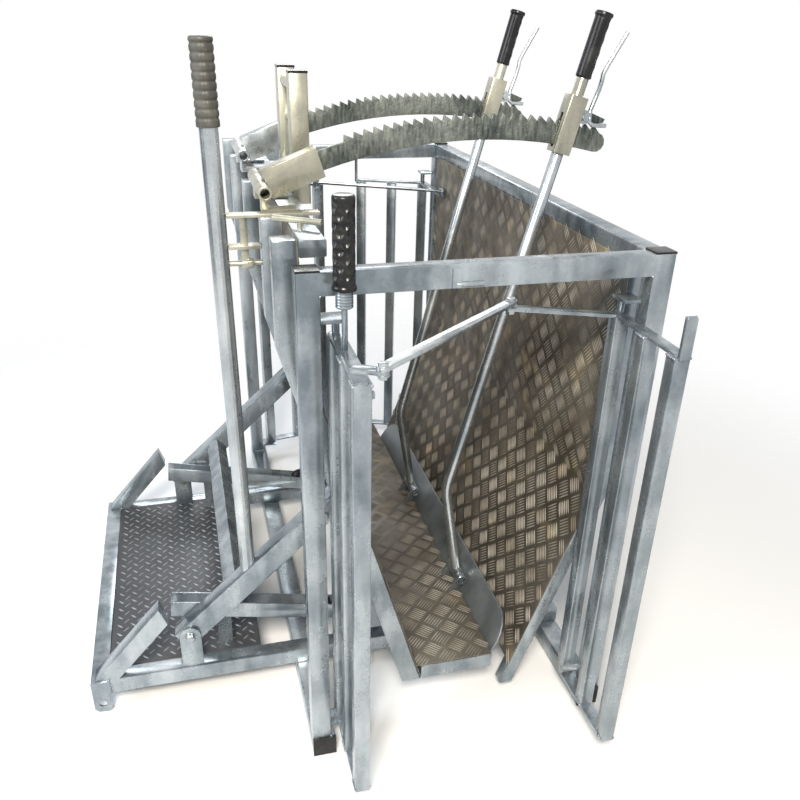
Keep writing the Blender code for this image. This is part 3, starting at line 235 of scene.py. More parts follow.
SIDE_ON = math.pi / 2
flag("left_flag", (-3.4, 0.3, 0.0), wide=5.4, tall=2.4, turn=SIDE_ON, colour=(0.07, 0.09, 0.12))
flag("right_flag", (3.8, 1.2, 0.0), wide=3.0, tall=1.6, turn=SIDE_ON, colour=(0.10, 0.11, 0.12))
print("flags done")

# %% [markdown]
# The floor fades into the white surround with distance, so no horizon cuts the picture.
# Near the object it stays a plain pale surface that takes the shadow.

# %% The floor
FLOOR_REACH = 12.0
FLOOR_DROP = 0.001
floor_mesh = bpy.data.meshes.new("studio_floor")
floor_corners = [
    (-FLOOR_REACH, -FLOOR_REACH, 0), (FLOOR_REACH, -FLOOR_REACH, 0),
    (FLOOR_REACH, FLOOR_REACH, 0), (-FLOOR_REACH, FLOOR_REACH, 0)]
floor_mesh.from_pydata(floor_corners, [], [(0, 1, 2, 3)])
floor = bpy.data.objects.new("studio_floor", floor_mesh)
floor.location.z = -FLOOR_DROP
scene.collection.objects.link(floor)
print("floor side", 2 * FLOOR_REACH, "m")

# %% The floor's finish
FADE_START, FADE_END = 1.1, 2.6
floor_look = bpy.data.materials.new("studio_floor")
floor_look.use_nodes = True
tree = floor_look.node_tree
pale = tree.nodes["Principled BSDF"]
pale.inputs["Base Color"].default_value = (0.97, 0.97, 0.97, 1.0)
pale.inputs["Roughness"].default_value = 0.9
coords = tree.nodes.new("ShaderNodeTexCoord")
reach = add(tree, "ShaderNodeVectorMath", {0: coords.outputs["Object"]})
reach.operation = "LENGTH"
fade = add(tree, "ShaderNodeMapRange", {
    "Value": reach.outputs["Value"], "From Min": FADE_START, "From Max": FADE_END})
fade.interpolation_type = "SMOOTHSTEP"
clear = tree.nodes.new("ShaderNodeBsdfTransparent")
mix = add(tree, "ShaderNodeMixShader", {
    0: fade.outputs["Result"], 1: pale.outputs[0], 2: clear.outputs[0]})
tree.links.new(mix.outputs[0], tree.nodes["Material Output"].inputs["Surface"])
floor_mesh.materials.append(floor_look)
print("the floor fades between", FADE_START, "and", FADE_END, "m")

# %% [markdown]
# ## Finishes
#
# Hot-dip galvanising freezes into zinc crystals, called spangle, with cloudy patches and
# faint runs. Three effects return in several finishes, so each becomes a node group with
# named inputs: spangle with clouds, stain that gathers in patches under painted patches of
# light, and a faint mottle.
# All of them read Object coordinates, which here are metres in the model.

# %% Helpers for the shader groups


def shader_group(name, inputs):
    """A node group with the outputs of a finish; also its input sockets and its end node."""
    group = bpy.data.node_groups.new(name, "ShaderNodeTree")
    for label, kind, value in inputs:
        socket = group.interface.new_socket(label, in_out="INPUT", socket_type="NodeSocket" + kind)
        socket.default_value = value
    for label, kind in (("Colour", "Color"), ("Roughness", "Float"), ("Height", "Float")):
        group.interface.new_socket(label, in_out="OUTPUT", socket_type="NodeSocket" + kind)
    return group, group.nodes.new("NodeGroupInput").outputs, group.nodes.new("NodeGroupOutput")


def noise(group, scale, detail, stretch=(1.0, 1.0, 1.0)):
    """A noise texture on Object coordinates, stretched along an axis where asked."""
    coords = group.nodes.new("ShaderNodeTexCoord")
    mapping = add(group, "ShaderNodeMapping", {"Vector": coords.outputs["Object"], "Scale": stretch})
    texture = add(group, "ShaderNodeTexNoise", {
        "Vector": mapping.outputs["Vector"], "Scale": scale, "Detail": detail})
    return texture.outputs["Fac"]


def remap(group, value, low, high, out_low=0.0, out_high=1.0):
    """Stretch a value from one range to another and clamp it."""
    node = add(group, "ShaderNodeMapRange", {
        "Value": value, "From Min": low, "From Max": high, "To Min": out_low, "To Max": out_high})
    return node.outputs["Result"]


# A Mix node keeps the sockets of all its data types in one list, so they go by number.
FACTOR_IN, COLOUR_A_IN, COLOUR_B_IN, COLOUR_OUT = 0, 6, 7, 2


def blend_colours(group, factor, first, second):
    """One colour mix of sockets."""
    node = group.nodes.new("ShaderNodeMix")
    node.data_type = "RGBA"
    join_up(group, node, {FACTOR_IN: factor, COLOUR_A_IN: first, COLOUR_B_IN: second})
    return node.outputs[COLOUR_OUT]


# %% Spangle with cloudy patches
CRYSTALS = 190.0
CRYSTAL_TONE = 0.06
RUN_TONE = 0.27
SPANGLE, spangle_in, spangle_out = shader_group(
    "spangle",
    [("Light Colour", "Color", (0.7, 0.7, 0.7, 1)), ("Dark Colour", "Color", (0.5, 0.5, 0.5, 1)),
     ("Smoothness", "Float", 0.35), ("Run Scale", "Float", 5.0)])
coords = SPANGLE.nodes.new("ShaderNodeTexCoord")
cells = add(SPANGLE, "ShaderNodeTexVoronoi", {"Vector": coords.outputs["Object"], "Scale": CRYSTALS})
cell_grey = add(SPANGLE, "ShaderNodeSeparateColor", {0: cells.outputs["Color"]})
cell_tone = remap(SPANGLE, cell_grey.outputs[0], 0.0, 1.0, -CRYSTAL_TONE, CRYSTAL_TONE)
clouds = remap(SPANGLE, noise(SPANGLE, scale=7.0, detail=6.0), 0.30, 0.70)
run_noise = noise(SPANGLE, scale=spangle_in["Run Scale"], detail=5.0, stretch=(6.0, 6.0, 1.5))
runs = remap(SPANGLE, run_noise, 0.35, 0.68, -RUN_TONE, RUN_TONE)
tone = arithmetic(SPANGLE, "ADD", arithmetic(SPANGLE, "ADD", clouds, cell_tone), runs)
mixed = blend_colours(SPANGLE, tone, spangle_in["Dark Colour"], spangle_in["Light Colour"])
rougher = arithmetic(SPANGLE, "MULTIPLY", tone, 0.16)
rough = arithmetic(SPANGLE, "ADD", spangle_in["Smoothness"], rougher)
height = arithmetic(SPANGLE, "ADD", noise(SPANGLE, scale=60.0, detail=5.0), cell_tone)
join_up(SPANGLE, spangle_out, {"Colour": mixed, "Roughness": rough, "Height": height})
print("spangle:", len(SPANGLE.nodes), "nodes")

# %% Stain that gathers in patches, with painted patches of light
STAIN_AND_LIGHT_PATCHES, stain_in, stain_out = shader_group(
    "stain",
    [("Clean Colour", "Color", (0.5, 0.5, 0.5, 1)), ("Stain Colour", "Color", (0.2, 0.15, 0.1, 1)),
     ("Painted Light Colour", "Color", (0.7, 0.6, 0.4, 1)), ("Patch Scale", "Float", 6.0),
     ("Smoothness", "Float", 0.3)])
patch_noise = noise(STAIN_AND_LIGHT_PATCHES, scale=stain_in["Patch Scale"], detail=7.0)
patches = remap(STAIN_AND_LIGHT_PATCHES, patch_noise, 0.38, 0.62)
grain = remap(STAIN_AND_LIGHT_PATCHES, noise(STAIN_AND_LIGHT_PATCHES, scale=95.0, detail=5.0), 0.35, 0.70)
# Painted light: golden patches, as if sunlight fell on the plate, mixed over the stain.
painted_light_patches = remap(STAIN_AND_LIGHT_PATCHES, noise(STAIN_AND_LIGHT_PATCHES, scale=11.0, detail=3.0), 0.58, 0.74, 0.0, 0.55)
stain_colour = stain_in["Stain Colour"]
base = blend_colours(STAIN_AND_LIGHT_PATCHES, patches, stain_in["Clean Colour"], stain_colour)
speckled = blend_colours(STAIN_AND_LIGHT_PATCHES, arithmetic(STAIN_AND_LIGHT_PATCHES, "MULTIPLY", grain, 0.35), base, stain_colour)
shone = blend_colours(STAIN_AND_LIGHT_PATCHES, painted_light_patches, speckled, stain_in["Painted Light Colour"])
rougher = arithmetic(STAIN_AND_LIGHT_PATCHES, "MULTIPLY", patches, 0.14)
rough = arithmetic(STAIN_AND_LIGHT_PATCHES, "ADD", stain_in["Smoothness"], rougher)
join_up(STAIN_AND_LIGHT_PATCHES, stain_out, {"Colour": shone, "Roughness": rough, "Height": grain})
print("stain:", len(STAIN_AND_LIGHT_PATCHES.nodes), "nodes")

# %% Mouldings: a faint mottle for rubber and plastic
MOTTLE, mottle_in, mottle_out = shader_group(
    "mottle",
    [("Dark Colour", "Color", (0.01, 0.01, 0.01, 1)), ("Worn Colour", "Color", (0.05, 0.05, 0.05, 1)),
     ("Smoothness", "Float", 0.45)])
wear = remap(MOTTLE, noise(MOTTLE, scale=45.0, detail=6.0), 0.45, 0.75)
worn = blend_colours(MOTTLE, wear, mottle_in["Dark Colour"], mottle_in["Worn Colour"])
rougher = arithmetic(MOTTLE, "MULTIPLY", wear, 0.2)
rough = arithmetic(MOTTLE, "ADD", mottle_in["Smoothness"], rougher)
height = noise(MOTTLE, scale=400.0, detail=2.0)
join_up(MOTTLE, mottle_out, {"Colour": worn, "Roughness": rough, "Height": height})
print("mottle:", len(MOTTLE.nodes), "nodes")

# %% [markdown]
# The tube is dipped after welding, so it is the cloudiest steel here. Plated parts are
# brighter, some of them with a cream tint that is painted warm light, and the racks are
# almost black between light vertical streaks, partly runs and partly painted reflection.
# Tread plate has its finishes in pairs: boots and hooves keep the bars polished while dirt
# stays between them, and the dark plate and bright bars are also painted shade between
# the bars and painted highlight on them.

# %% A helper that makes a finish


def made_finish(name, group, values, metallic, bump, distance=0.0004):
    """A Principled finish fed by one of the groups; distance is how deep its bumps look."""
    made = bpy.data.materials.new(name)
    made.use_nodes = True
    tree = made.node_tree
    node = tree.nodes.new("ShaderNodeGroup")
    node.node_tree = group
    for label, value in values.items():
        socket = node.inputs[label]
        socket.default_value = (*value, 1.0) if isinstance(value, tuple) else value
    relief = add(tree, "ShaderNodeBump", {
        "Strength": bump, "Distance": distance, "Height": node.outputs["Height"]})
    join_up(tree, tree.nodes["Principled BSDF"], {
        "Metallic": metallic, "Base Color": node.outputs["Colour"],
        "Roughness": node.outputs["Roughness"], "Normal": relief.outputs["Normal"]})
    return made


# %% The steels
ZINC = made_finish(
    "galvanised", SPANGLE,
    {"Light Colour": (0.44, 0.485, 0.515), "Dark Colour": (0.165, 0.20, 0.225), "Smoothness": 0.18},
    metallic=0.72, bump=0.10)
# The cream tint of this plated finish is painted warm light.
BRIGHT = made_finish(
    "zinc_plate", SPANGLE,
    {"Light Colour": (0.50, 0.485, 0.39), "Dark Colour": (0.30, 0.295, 0.245), "Smoothness": 0.22},
    metallic=0.7, bump=0.16)
SILVER = made_finish(
    "bright_zinc", SPANGLE,
    {"Light Colour": (0.62, 0.65, 0.66), "Dark Colour": (0.30, 0.335, 0.36), "Smoothness": 0.18},
    metallic=0.85, bump=0.15)
DULL = made_finish(
    "dull_zinc", SPANGLE,
    {"Light Colour": (0.27, 0.30, 0.32), "Dark Colour": (0.17, 0.19, 0.205), "Smoothness": 0.36},
    metallic=0.6, bump=0.25)
# The racks' light and near-black vertical streaks are partly runs in the zinc and partly painted
# reflection.
RACK = made_finish(
    "rack_steel", SPANGLE,
    {"Light Colour": (0.22, 0.235, 0.21), "Dark Colour": (0.03, 0.04, 0.038), "Smoothness": 0.30,
     "Run Scale": 30.0}, metallic=0.6, bump=1.0, distance=0.0012)
print("steel finishes:", [made.name for made in (ZINC, BRIGHT, SILVER, DULL, RACK)])

# %% Tread plate with painted shade, its worn bars with painted highlight, and the mouldings
# The plate's dark colour is partly dirt and partly painted shade between the bars; the bars' light
# colour is partly polish and partly painted highlight.
TREAD = made_finish(
    "weathered_tread_painted_shade", STAIN_AND_LIGHT_PATCHES,
    {"Clean Colour": (0.165, 0.152, 0.126), "Stain Colour": (0.058, 0.049, 0.037),
     "Painted Light Colour": (0.30, 0.24, 0.14), "Patch Scale": 5.0, "Smoothness": 0.44},
    metallic=0.30, bump=0.35)
TREAD_BAR = made_finish(
    "worn_tread_bars_painted_highlight", STAIN_AND_LIGHT_PATCHES,
    {"Clean Colour": (0.34, 0.32, 0.28), "Stain Colour": (0.15, 0.127, 0.097),
     "Painted Light Colour": (0.56, 0.47, 0.31), "Patch Scale": 8.0, "Smoothness": 0.58},
    metallic=0.10, bump=0.3)
# The deck's pair works the same way: its dark plate is partly painted shade, its bright bars partly
# painted highlight.
DECK = made_finish(
    "deck_tread", STAIN_AND_LIGHT_PATCHES,
    {"Clean Colour": (0.085, 0.09, 0.10), "Stain Colour": (0.05, 0.052, 0.055),
     "Painted Light Colour": (0.13, 0.135, 0.145), "Patch Scale": 4.0, "Smoothness": 0.46},
    metallic=0.4, bump=0.3)
DECK_BAR = made_finish(
    "worn_deck_bars_painted_highlight", STAIN_AND_LIGHT_PATCHES,
    {"Clean Colour": (0.30, 0.31, 0.325), "Stain Colour": (0.20, 0.205, 0.21),
     "Painted Light Colour": (0.42, 0.42, 0.42), "Patch Scale": 5.0, "Smoothness": 0.36},
    metallic=0.55, bump=0.3)
RUBBER = made_finish(
    "black_rubber", MOTTLE,
    {"Dark Colour": (0.007, 0.007, 0.008), "Worn Colour": (0.020, 0.020, 0.020), "Smoothness": 0.20},
    metallic=0.0, bump=0.12)
RUBBER.node_tree.nodes["Principled BSDF"].inputs["Specular IOR Level"].default_value = 0.32
GREY_RUBBER = made_finish(
    "grey_rubber", MOTTLE,
    {"Dark Colour": (0.052, 0.051, 0.043), "Worn Colour": (0.105, 0.10, 0.086), "Smoothness": 0.5},
    metallic=0.0, bump=0.3)
print("tread and rubber finishes:", [made.name for made in (TREAD, TREAD_BAR, DECK, DECK_BAR)],
      [made.name for made in (RUBBER, GREY_RUBBER)])

# %% [markdown]
# ## Rounding the CAD solids
#
# Rolled tube has no knife edges: each corner catches a thin line of light. The CAD mesh
# is loose triangles, so a copy is merged, its flat faces are joined again, and a small
# bevel is run along the sharp edges. The copy then stands for the CAD node.

# %% Helpers that every piece uses


def mesh_of(name, piece):
    """A mesh with all that a bmesh holds."""
    mesh = bpy.data.meshes.new(name)
    piece.to_mesh(mesh)
    piece.free()
    return mesh


def evaluated(thing):
    """The mesh that an object's modifiers or curves make; the object itself goes."""
    name = thing.name
    graph = bpy.context.evaluated_depsgraph_get()
    mesh = bpy.data.meshes.new_from_object(thing.evaluated_get(graph))
    bpy.data.objects.remove(thing, do_unlink=True)
    mesh.name = name
    return mesh


def triangle_count(mesh):
    """How many triangles a mesh makes."""
    return sum(len(face.vertices) - 2 for face in mesh.polygons)


def into_scene(name, mesh, body, look, sharp_from=35.0):
    """One finished piece that rides on a body; corners above so many degrees stay sharp."""
    mesh.shade_smooth()
    mesh.set_sharp_from_angle(angle=math.radians(sharp_from))
    mesh.materials.clear()
    mesh.materials.append(look)
    thing = bpy.data.objects.new(name, mesh)
    scene.collection.objects.link(thing)
    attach(thing, body)
    return thing


BODY_OF = {}
for body, names in frame["record"]["behaviour"]["bodies"].items():
    for name in names:
        BODY_OF[name] = body
SLOT_OF = {part["node"]: part["material_slot"] for part in frame["record"]["subparts"]}
print("material slots:", sorted(set(SLOT_OF.values())))

# %% Round one node
EDGE_ROUND = 0.0012
SAME_PLACE = 0.00001


def rounded(node, look):
    """A bevelled copy of a CAD node, which it then stands for."""
    source = frame["nodes"][node]
    piece = bmesh.new()
    piece.from_mesh(CUT_MESH.get(node, source.data))
    bmesh.ops.remove_doubles(piece, verts=piece.verts, dist=SAME_PLACE)
    bmesh.ops.dissolve_limit(
        piece, angle_limit=math.radians(1.0), verts=piece.verts, edges=piece.edges,
        use_dissolve_boundaries=False)
    name = node + "_rounded"
    copy = bpy.data.objects.new(name, mesh_of(name, piece))
    scene.collection.objects.link(copy)
    bevel = copy.modifiers.new("Edges", "BEVEL")
    bevel.width = EDGE_ROUND
    bevel.segments = 2
    bevel.limit_method = "ANGLE"
    bevel.angle_limit = math.radians(40)
    thing = into_scene(name, evaluated(copy), BODY_OF[node], look, 50.0)
    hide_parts(node)
    return thing


# %% [markdown]
# Each right gate leaf ends in a tab that stands up from its top bar. The CAD tab also runs
# down beside the upright, which the real one doesn't. It is cut off a copy of the mesh
# with a Boolean modifier here, and a new tab is drawn further down.

# %% Cut the old tabs off the right leaves


def without(node, low, high, matrix):
    """A copy of a CAD node's mesh with a box cut out, where a finer piece will stand."""
    source = frame["nodes"][node]
    piece = bmesh.new()
    bmesh.ops.create_cube(piece, size=1.0)
    for corner in piece.verts:
        share = corner.co + Vector((0.5, 0.5, 0.5))
        place = [start + (stop - start) * part for start, stop, part in zip(low, high, share)]
        corner.co = at(*(matrix @ Vector(place)))
    tool = bpy.data.objects.new("cutter", mesh_of("cutter", piece))
    copy = bpy.data.objects.new("cut_copy", source.data.copy())
    for thing in (tool, copy):
        scene.collection.objects.link(thing)
    cutting = copy.modifiers.new("Cut", "BOOLEAN")
    cutting.operation = "DIFFERENCE"
    cutting.solver = "EXACT"
    cutting.object = tool
    done = evaluated(copy)
    bpy.data.objects.remove(tool, do_unlink=True)
    return done


def right_leaf(end):
    """The place and turn of a right gate leaf, whose X axis runs out from the hinge."""
    hinge = Matrix.Translation((RIGHT_HINGE_X, GATE_Y[end], 0))
    return hinge @ Matrix.Rotation(math.radians(RIGHT_LEAF_TURN[end]), 4, "Z")


LEAF_END = 0.219
CUT_LOW = (LEAF_END + 0.0002, -0.020, GATE_TOP - 0.065)
CUT_HIGH = (LEAF_END + 0.020, 0.020, GATE_TOP + 0.080)
CUT_MESH = {}
for end in GATE_Y:
    node = "gate_right_" + end
    CUT_MESH[node] = without(node, CUT_LOW, CUT_HIGH, right_leaf(end))
print("cut:", list(CUT_MESH))

# %% Dress every CAD node
LOOK_OF_SLOT = {
    "galvanised_steel": ZINC, "tread_plate": TREAD, "zinc_plated_steel": BRIGHT,
    "dull_steel": DULL, "black_rubber": RUBBER,
}
OWN_LOOK = {
    "platform_plate": DECK, "operator_grip": GREY_RUBBER,
    "rack_near": RACK, "rack_far": RACK, "trigger_near": RACK, "trigger_far": RACK,
    # The far rack arm takes the bluish bright zinc instead of its twin's cream plate: painted cooler
    # light.
    "gate_link_near": SILVER, "gate_link_far": SILVER, "rack_arm_far": SILVER,
    "clamp_lever_near": SILVER, "clamp_lever_far": SILVER, "operator_lever": SILVER,
}
# The grips are replaced further down, and the other four are round and need no bevel.
KEPT = {
    "operator_grip", "clamp_grip_near", "clamp_grip_far", "gate_grip_near",
    "roller_near", "roller_far", "guide_roller", "operator_lever",
}
triangles = 0
for node, source in frame["nodes"].items():
    look = OWN_LOOK.get(node, LOOK_OF_SLOT[SLOT_OF[node]])
    if node in KEPT:
        source.data.materials.clear()
        source.data.materials.append(look)
        continue
    thing = rounded(node, look)
    triangles += triangle_count(thing.data)
print("rounded pieces use", triangles, "triangles")

# %% [markdown]
# ## Raised tread
#
# Tread plate is rolled with groups of short bars that cross in a basket weave, so that
# hooves and boots grip in every direction. The groups stand on two square lattices, one
# shifted by half a pitch, and each lattice has its own slant. That rule suits Geometry
# Nodes: two grids of points, a line of bars on each point, and a trim at the plate's edge.

# %% Helpers for the geometry trees


def geometry_tree(name, inputs):
    """A Geometry Nodes tree with one geometry output; also its input sockets and its end node."""
    tree = bpy.data.node_groups.new(name, "GeometryNodeTree")
    tree.interface.new_socket("Geometry", in_out="INPUT", socket_type="NodeSocketGeometry")
    for label, kind, value in inputs:
        socket = tree.interface.new_socket(label, in_out="INPUT", socket_type="NodeSocket" + kind)
        if value is not None:
            socket.default_value = value
    tree.interface.new_socket("Geometry", in_out="OUTPUT", socket_type="NodeSocketGeometry")
    return tree, tree.nodes.new("NodeGroupInput").outputs, tree.nodes.new("NodeGroupOutput")


def end_tree(tree, geometry, finish, group_out):
    """Make the instances real and give them their finish, as every tree here ends."""
    real = add(tree, "GeometryNodeRealizeInstances", {"Geometry": geometry})
    dressed = add(tree, "GeometryNodeSetMaterial", {
        "Geometry": real.outputs[0], "Material": finish})
    tree.links.new(dressed.outputs[0], group_out.inputs[0])
    print(tree.name, "has", len(tree.nodes), "nodes")


def grow(name, tree, values, seed=None):
    """Run a tree on a seed mesh and return the plain mesh that it makes."""
    carrier = bpy.data.objects.new(name, seed or bpy.data.meshes.new(name + "_seed"))
    scene.collection.objects.link(carrier)
    modifier = carrier.modifiers.new(tree.name, "NODES")
    modifier.node_group = tree
    for socket in tree.interface.items_tree:
        if socket.in_out == "INPUT" and socket.name in values:
            modifier[socket.identifier] = values[socket.name]
    return evaluated(carrier)


# %% The tree for tread plate
TREAD_TREE, tread_in, tread_out = geometry_tree("tread_bars", [
    ("Width", "Float", 0.2), ("Length", "Float", 1.0), ("Pitch", "Float", 0.0635),
    ("Bars", "Int", 6), ("Spacing", "Float", 0.0067),
    ("Bar Size", "Vector", (0.0200, 0.0021, 0.0016)), ("Shift", "Vector", (0.0, 0.0, 0.0)),
    ("Margin", "Float", 0.004), ("Finish", "Material", None)])


def tread_lattice(slant, half_step):
    """One slant of the bars: a grid of points, a line of bars on each, trimmed to the plate."""

    def maths(operation, *values):
        """One Math node of this tree."""
        return arithmetic(TREAD_TREE, operation, *values)

    counts = {}
    sizes = {}
    for side in ("Width", "Length"):
        fitting = maths("CEIL", maths("DIVIDE", tread_in[side], tread_in["Pitch"]))
        counts[side] = maths("ADD", fitting, 3.0)
        sizes[side] = maths("MULTIPLY", maths("ADD", fitting, 2.0), tread_in["Pitch"])
    grid = add(TREAD_TREE, "GeometryNodeMeshGrid", {
        "Size X": sizes["Width"], "Size Y": sizes["Length"],
        "Vertices X": counts["Width"], "Vertices Y": counts["Length"]})
    step = maths("MULTIPLY", tread_in["Pitch"], half_step)
    halves = add(TREAD_TREE, "ShaderNodeCombineXYZ", {0: step, 1: step})
    shift = add(TREAD_TREE, "ShaderNodeVectorMath", {
        0: halves.outputs[0], 1: tread_in["Shift"]})
    moved = add(TREAD_TREE, "GeometryNodeTransform", {
        "Geometry": grid.outputs["Mesh"], "Translation": shift.outputs[0]})
    last_bar = maths("SUBTRACT", tread_in["Bars"], 1.0)
    start = maths("MULTIPLY", maths("MULTIPLY", last_bar, tread_in["Spacing"]), -0.5)
    first_bar = add(TREAD_TREE, "ShaderNodeCombineXYZ", {1: start})
    bar_step = add(TREAD_TREE, "ShaderNodeCombineXYZ", {1: tread_in["Spacing"]})
    line = add(TREAD_TREE, "GeometryNodeMeshLine", {
        "Count": tread_in["Bars"], "Start Location": first_bar.outputs[0],
        "Offset": bar_step.outputs[0]})
    rows = add(TREAD_TREE, "GeometryNodeInstanceOnPoints", {
        "Points": moved.outputs[0], "Instance": line.outputs["Mesh"], "Rotation": Euler((0, 0, slant))})
    points = add(TREAD_TREE, "GeometryNodeRealizeInstances", {"Geometry": rows.outputs[0]})
    place = TREAD_TREE.nodes.new("GeometryNodeInputPosition")
    parts = add(TREAD_TREE, "ShaderNodeSeparateXYZ", {0: place.outputs[0]})
    outside = []
    for axis, side in enumerate(("Width", "Length")):
        limit = maths("SUBTRACT", maths("MULTIPLY", tread_in[side], 0.5), tread_in["Margin"])
        outside.append(maths("GREATER_THAN", maths("ABSOLUTE", parts.outputs[axis]), limit))
    trimmed = add(TREAD_TREE, "GeometryNodeDeleteGeometry", {
        "Geometry": points.outputs[0], "Selection": maths("MAXIMUM", *outside)})
    bar = add(TREAD_TREE, "GeometryNodeMeshCone", {
        "Vertices": 8, "Radius Top": 0.55, "Radius Bottom": 1.0, "Depth": 1.0})
    shaped = add(TREAD_TREE, "GeometryNodeTransform", {
        "Geometry": bar.outputs["Mesh"], "Scale": tread_in["Bar Size"]})
    return add(TREAD_TREE, "GeometryNodeInstanceOnPoints", {
        "Points": trimmed.outputs[0], "Instance": shaped.outputs[0], "Rotation": Euler((0, 0, slant))})


both = TREAD_TREE.nodes.new("GeometryNodeJoinGeometry")
for slant, half_step in ((-math.pi / 4, 0.0), (math.pi / 4, 0.5)):
    TREAD_TREE.links.new(tread_lattice(slant, half_step).outputs[0], both.inputs[0])
end_tree(TREAD_TREE, both.outputs[0], tread_in["Finish"], tread_out)

# %% A helper that lays tread on a strip
SINK = 0.0002


def tread_on(name, path, near_y, far_y, look, **values):
    """Bars on a strip between two points of the XZ plane; the face is on the path's left."""
    start, end = (Vector((x, 0.0, z)) for x, z in path)
    across, along = (end - start).normalized(), Vector((0, 1, 0))
    face = across.cross(along)
    middle = at(0, (near_y + far_y) / 2, 0) + (start + end) / 2 - face * SINK
    values.update({"Width": (end - start).length, "Length": far_y - near_y, "Finish": look})
    mesh = grow(name, TREAD_TREE, values)
    mesh.transform(Matrix.Translation(middle) @ Matrix((across, along, face)).transposed().to_4x4())
    return mesh


def joined(name, meshes):
    """Several meshes as one."""
    piece = bmesh.new()
    for mesh in meshes:
        piece.from_mesh(mesh)
        bpy.data.meshes.remove(mesh)
    return mesh_of(name, piece)


# %% [markdown]
# Both walls are bent sheets, so each gets two strips: the XZ points below follow its face.
# The near gate's upright, crank and link turn close beside the right wall. So its bars
# start a little further in, and those of its upper strip are lower.

# %% Lay the tread on the two walls
WALL_NEAR_Y, WALL_FAR_Y = 0.083, 1.300
RIGHT_NEAR_Y = 0.089
RIGHT_FOOT, RIGHT_BEND, RIGHT_TOP = (0.482, 0.0906), (0.6367, 0.535), (0.6367, 1.050)
LEFT_TOP, LEFT_KINK, LEFT_FOOT = (0.0183, 1.083), (0.0183, 0.9263), (0.2562, 0.1245)
LOW_BARS = {"Bar Size": (0.0200, 0.0021, 0.0011)}
right_bars = joined("right_wall_tread", [
    tread_on("lower", (RIGHT_FOOT, RIGHT_BEND), RIGHT_NEAR_Y, WALL_FAR_Y, TREAD_BAR),
    tread_on("upper", (RIGHT_BEND, RIGHT_TOP), RIGHT_NEAR_Y, WALL_FAR_Y, TREAD_BAR, **LOW_BARS)])
into_scene("right_wall_tread", right_bars, "base_frame", TREAD_BAR)
left_bars = joined("left_wall_tread", [
    tread_on("upper", (LEFT_TOP, LEFT_KINK), WALL_NEAR_Y, WALL_FAR_Y, TREAD_BAR),
    tread_on("lower", (LEFT_KINK, LEFT_FOOT), WALL_NEAR_Y, WALL_FAR_Y, TREAD_BAR)])
into_scene("left_wall_tread", left_bars, "crate", TREAD_BAR)
for wall in (right_bars, left_bars):
    print(wall.name, triangle_count(wall), "triangles")

# %% Lay the tread on the floor and the platform


def tread_on_plate(node, look, name, body, **values):
    """Bars on the level top of a CAD plate."""
    low, high = (Vector(corner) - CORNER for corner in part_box(node))
    mesh = tread_on(name, ((low.x, high.z), (high.x, high.z)), low.y, high.y, look, **values)
    into_scene(name, mesh, body, look)
    print(name, triangle_count(mesh), "triangles")


tread_on_plate("floor_plate", TREAD_BAR, "floor_tread", "crate", Shift=(-0.0100, 0.0071, 0.0))
SINGLE_BARS = {"Pitch": 0.0315, "Bars": 1, "Bar Size": (0.0105, 0.0026, 0.0013)}
tread_on_plate("platform_plate", DECK_BAR, "platform_tread", "base_frame", **SINGLE_BARS)

# %% [markdown]
# ## Caps, collar and grips
#
# Black plastic caps close the tubes at the top of the posts and at the ends of the skids
# and guide posts. The grips are moulded: the operator's has shallow rings, the bolt's is
# pressed into diamonds and the clamps' have hollows for the fingers. A plain lathe can't
# make these. So a tube of many small faces is drawn, and each point is pulled in by a
# rule of its angle and its height.

# %% Caps on the ends of tubes
CAP_ROUND = 0.0014


def cap(name, low, high, body):
    """A rounded plug over the end of a square tube."""
    piece = bmesh.new()
    bmesh.ops.create_cube(piece, size=1.0)
    low, high = at(*low), at(*high)
    bmesh.ops.scale(piece, vec=high - low, verts=piece.verts)
    bmesh.ops.translate(piece, vec=(low + high) / 2, verts=piece.verts)
    bmesh.ops.bevel(
        piece, geom=list(piece.edges), offset=CAP_ROUND, segments=3, profile=0.6, affect="EDGES")
    into_scene(name, mesh_of(name, piece), body, RUBBER)


PROUD = 0.0004
THICK = 0.0040
POST_CAP_TOP = HEIGHT + 0.0008
SKID_CAP_HALF = 0.0028
for end, near_y in (("near", 0.0), ("far", LENGTH - TUBE)):
    for side, low_x in (("left", 0.0), ("right", WIDTH - TUBE)):
        low = (low_x - PROUD, near_y - PROUD, POST_CAP_TOP - THICK)
        high = (low_x + TUBE + PROUD, near_y + TUBE + PROUD, POST_CAP_TOP)
        cap("post_cap_%s_%s" % (end, side), low, high, "base_frame")
for side, low_x in (("left", 0.0), ("right", WIDTH - SKID)):
    for end, y in (("near", 0.0), ("far", LENGTH)):
        low = (low_x - PROUD, y - SKID_CAP_HALF, 0.0)
        high = (low_x + SKID + PROUD, y + SKID_CAP_HALF, SKID + PROUD)
        cap("skid_cap_%s_%s" % (end, side), low, high, "base_frame")
guide_low, guide_high = (Vector(corner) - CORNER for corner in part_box("guide_posts"))
GUIDE_SIDE = 0.038
GUIDE_CAP_RISE = 0.0012
for end, near_y in (("near", guide_low.y), ("far", guide_high.y - GUIDE_SIDE)):
    low = (guide_low.x - PROUD, near_y - PROUD, guide_high.z - THICK)
    high = (guide_low.x + GUIDE_SIDE + PROUD, near_y + GUIDE_SIDE + PROUD,
            guide_high.z + GUIDE_CAP_RISE)
    cap("guide_cap_" + end, low, high, "crate")

# %% Helpers for the turned and moulded pieces


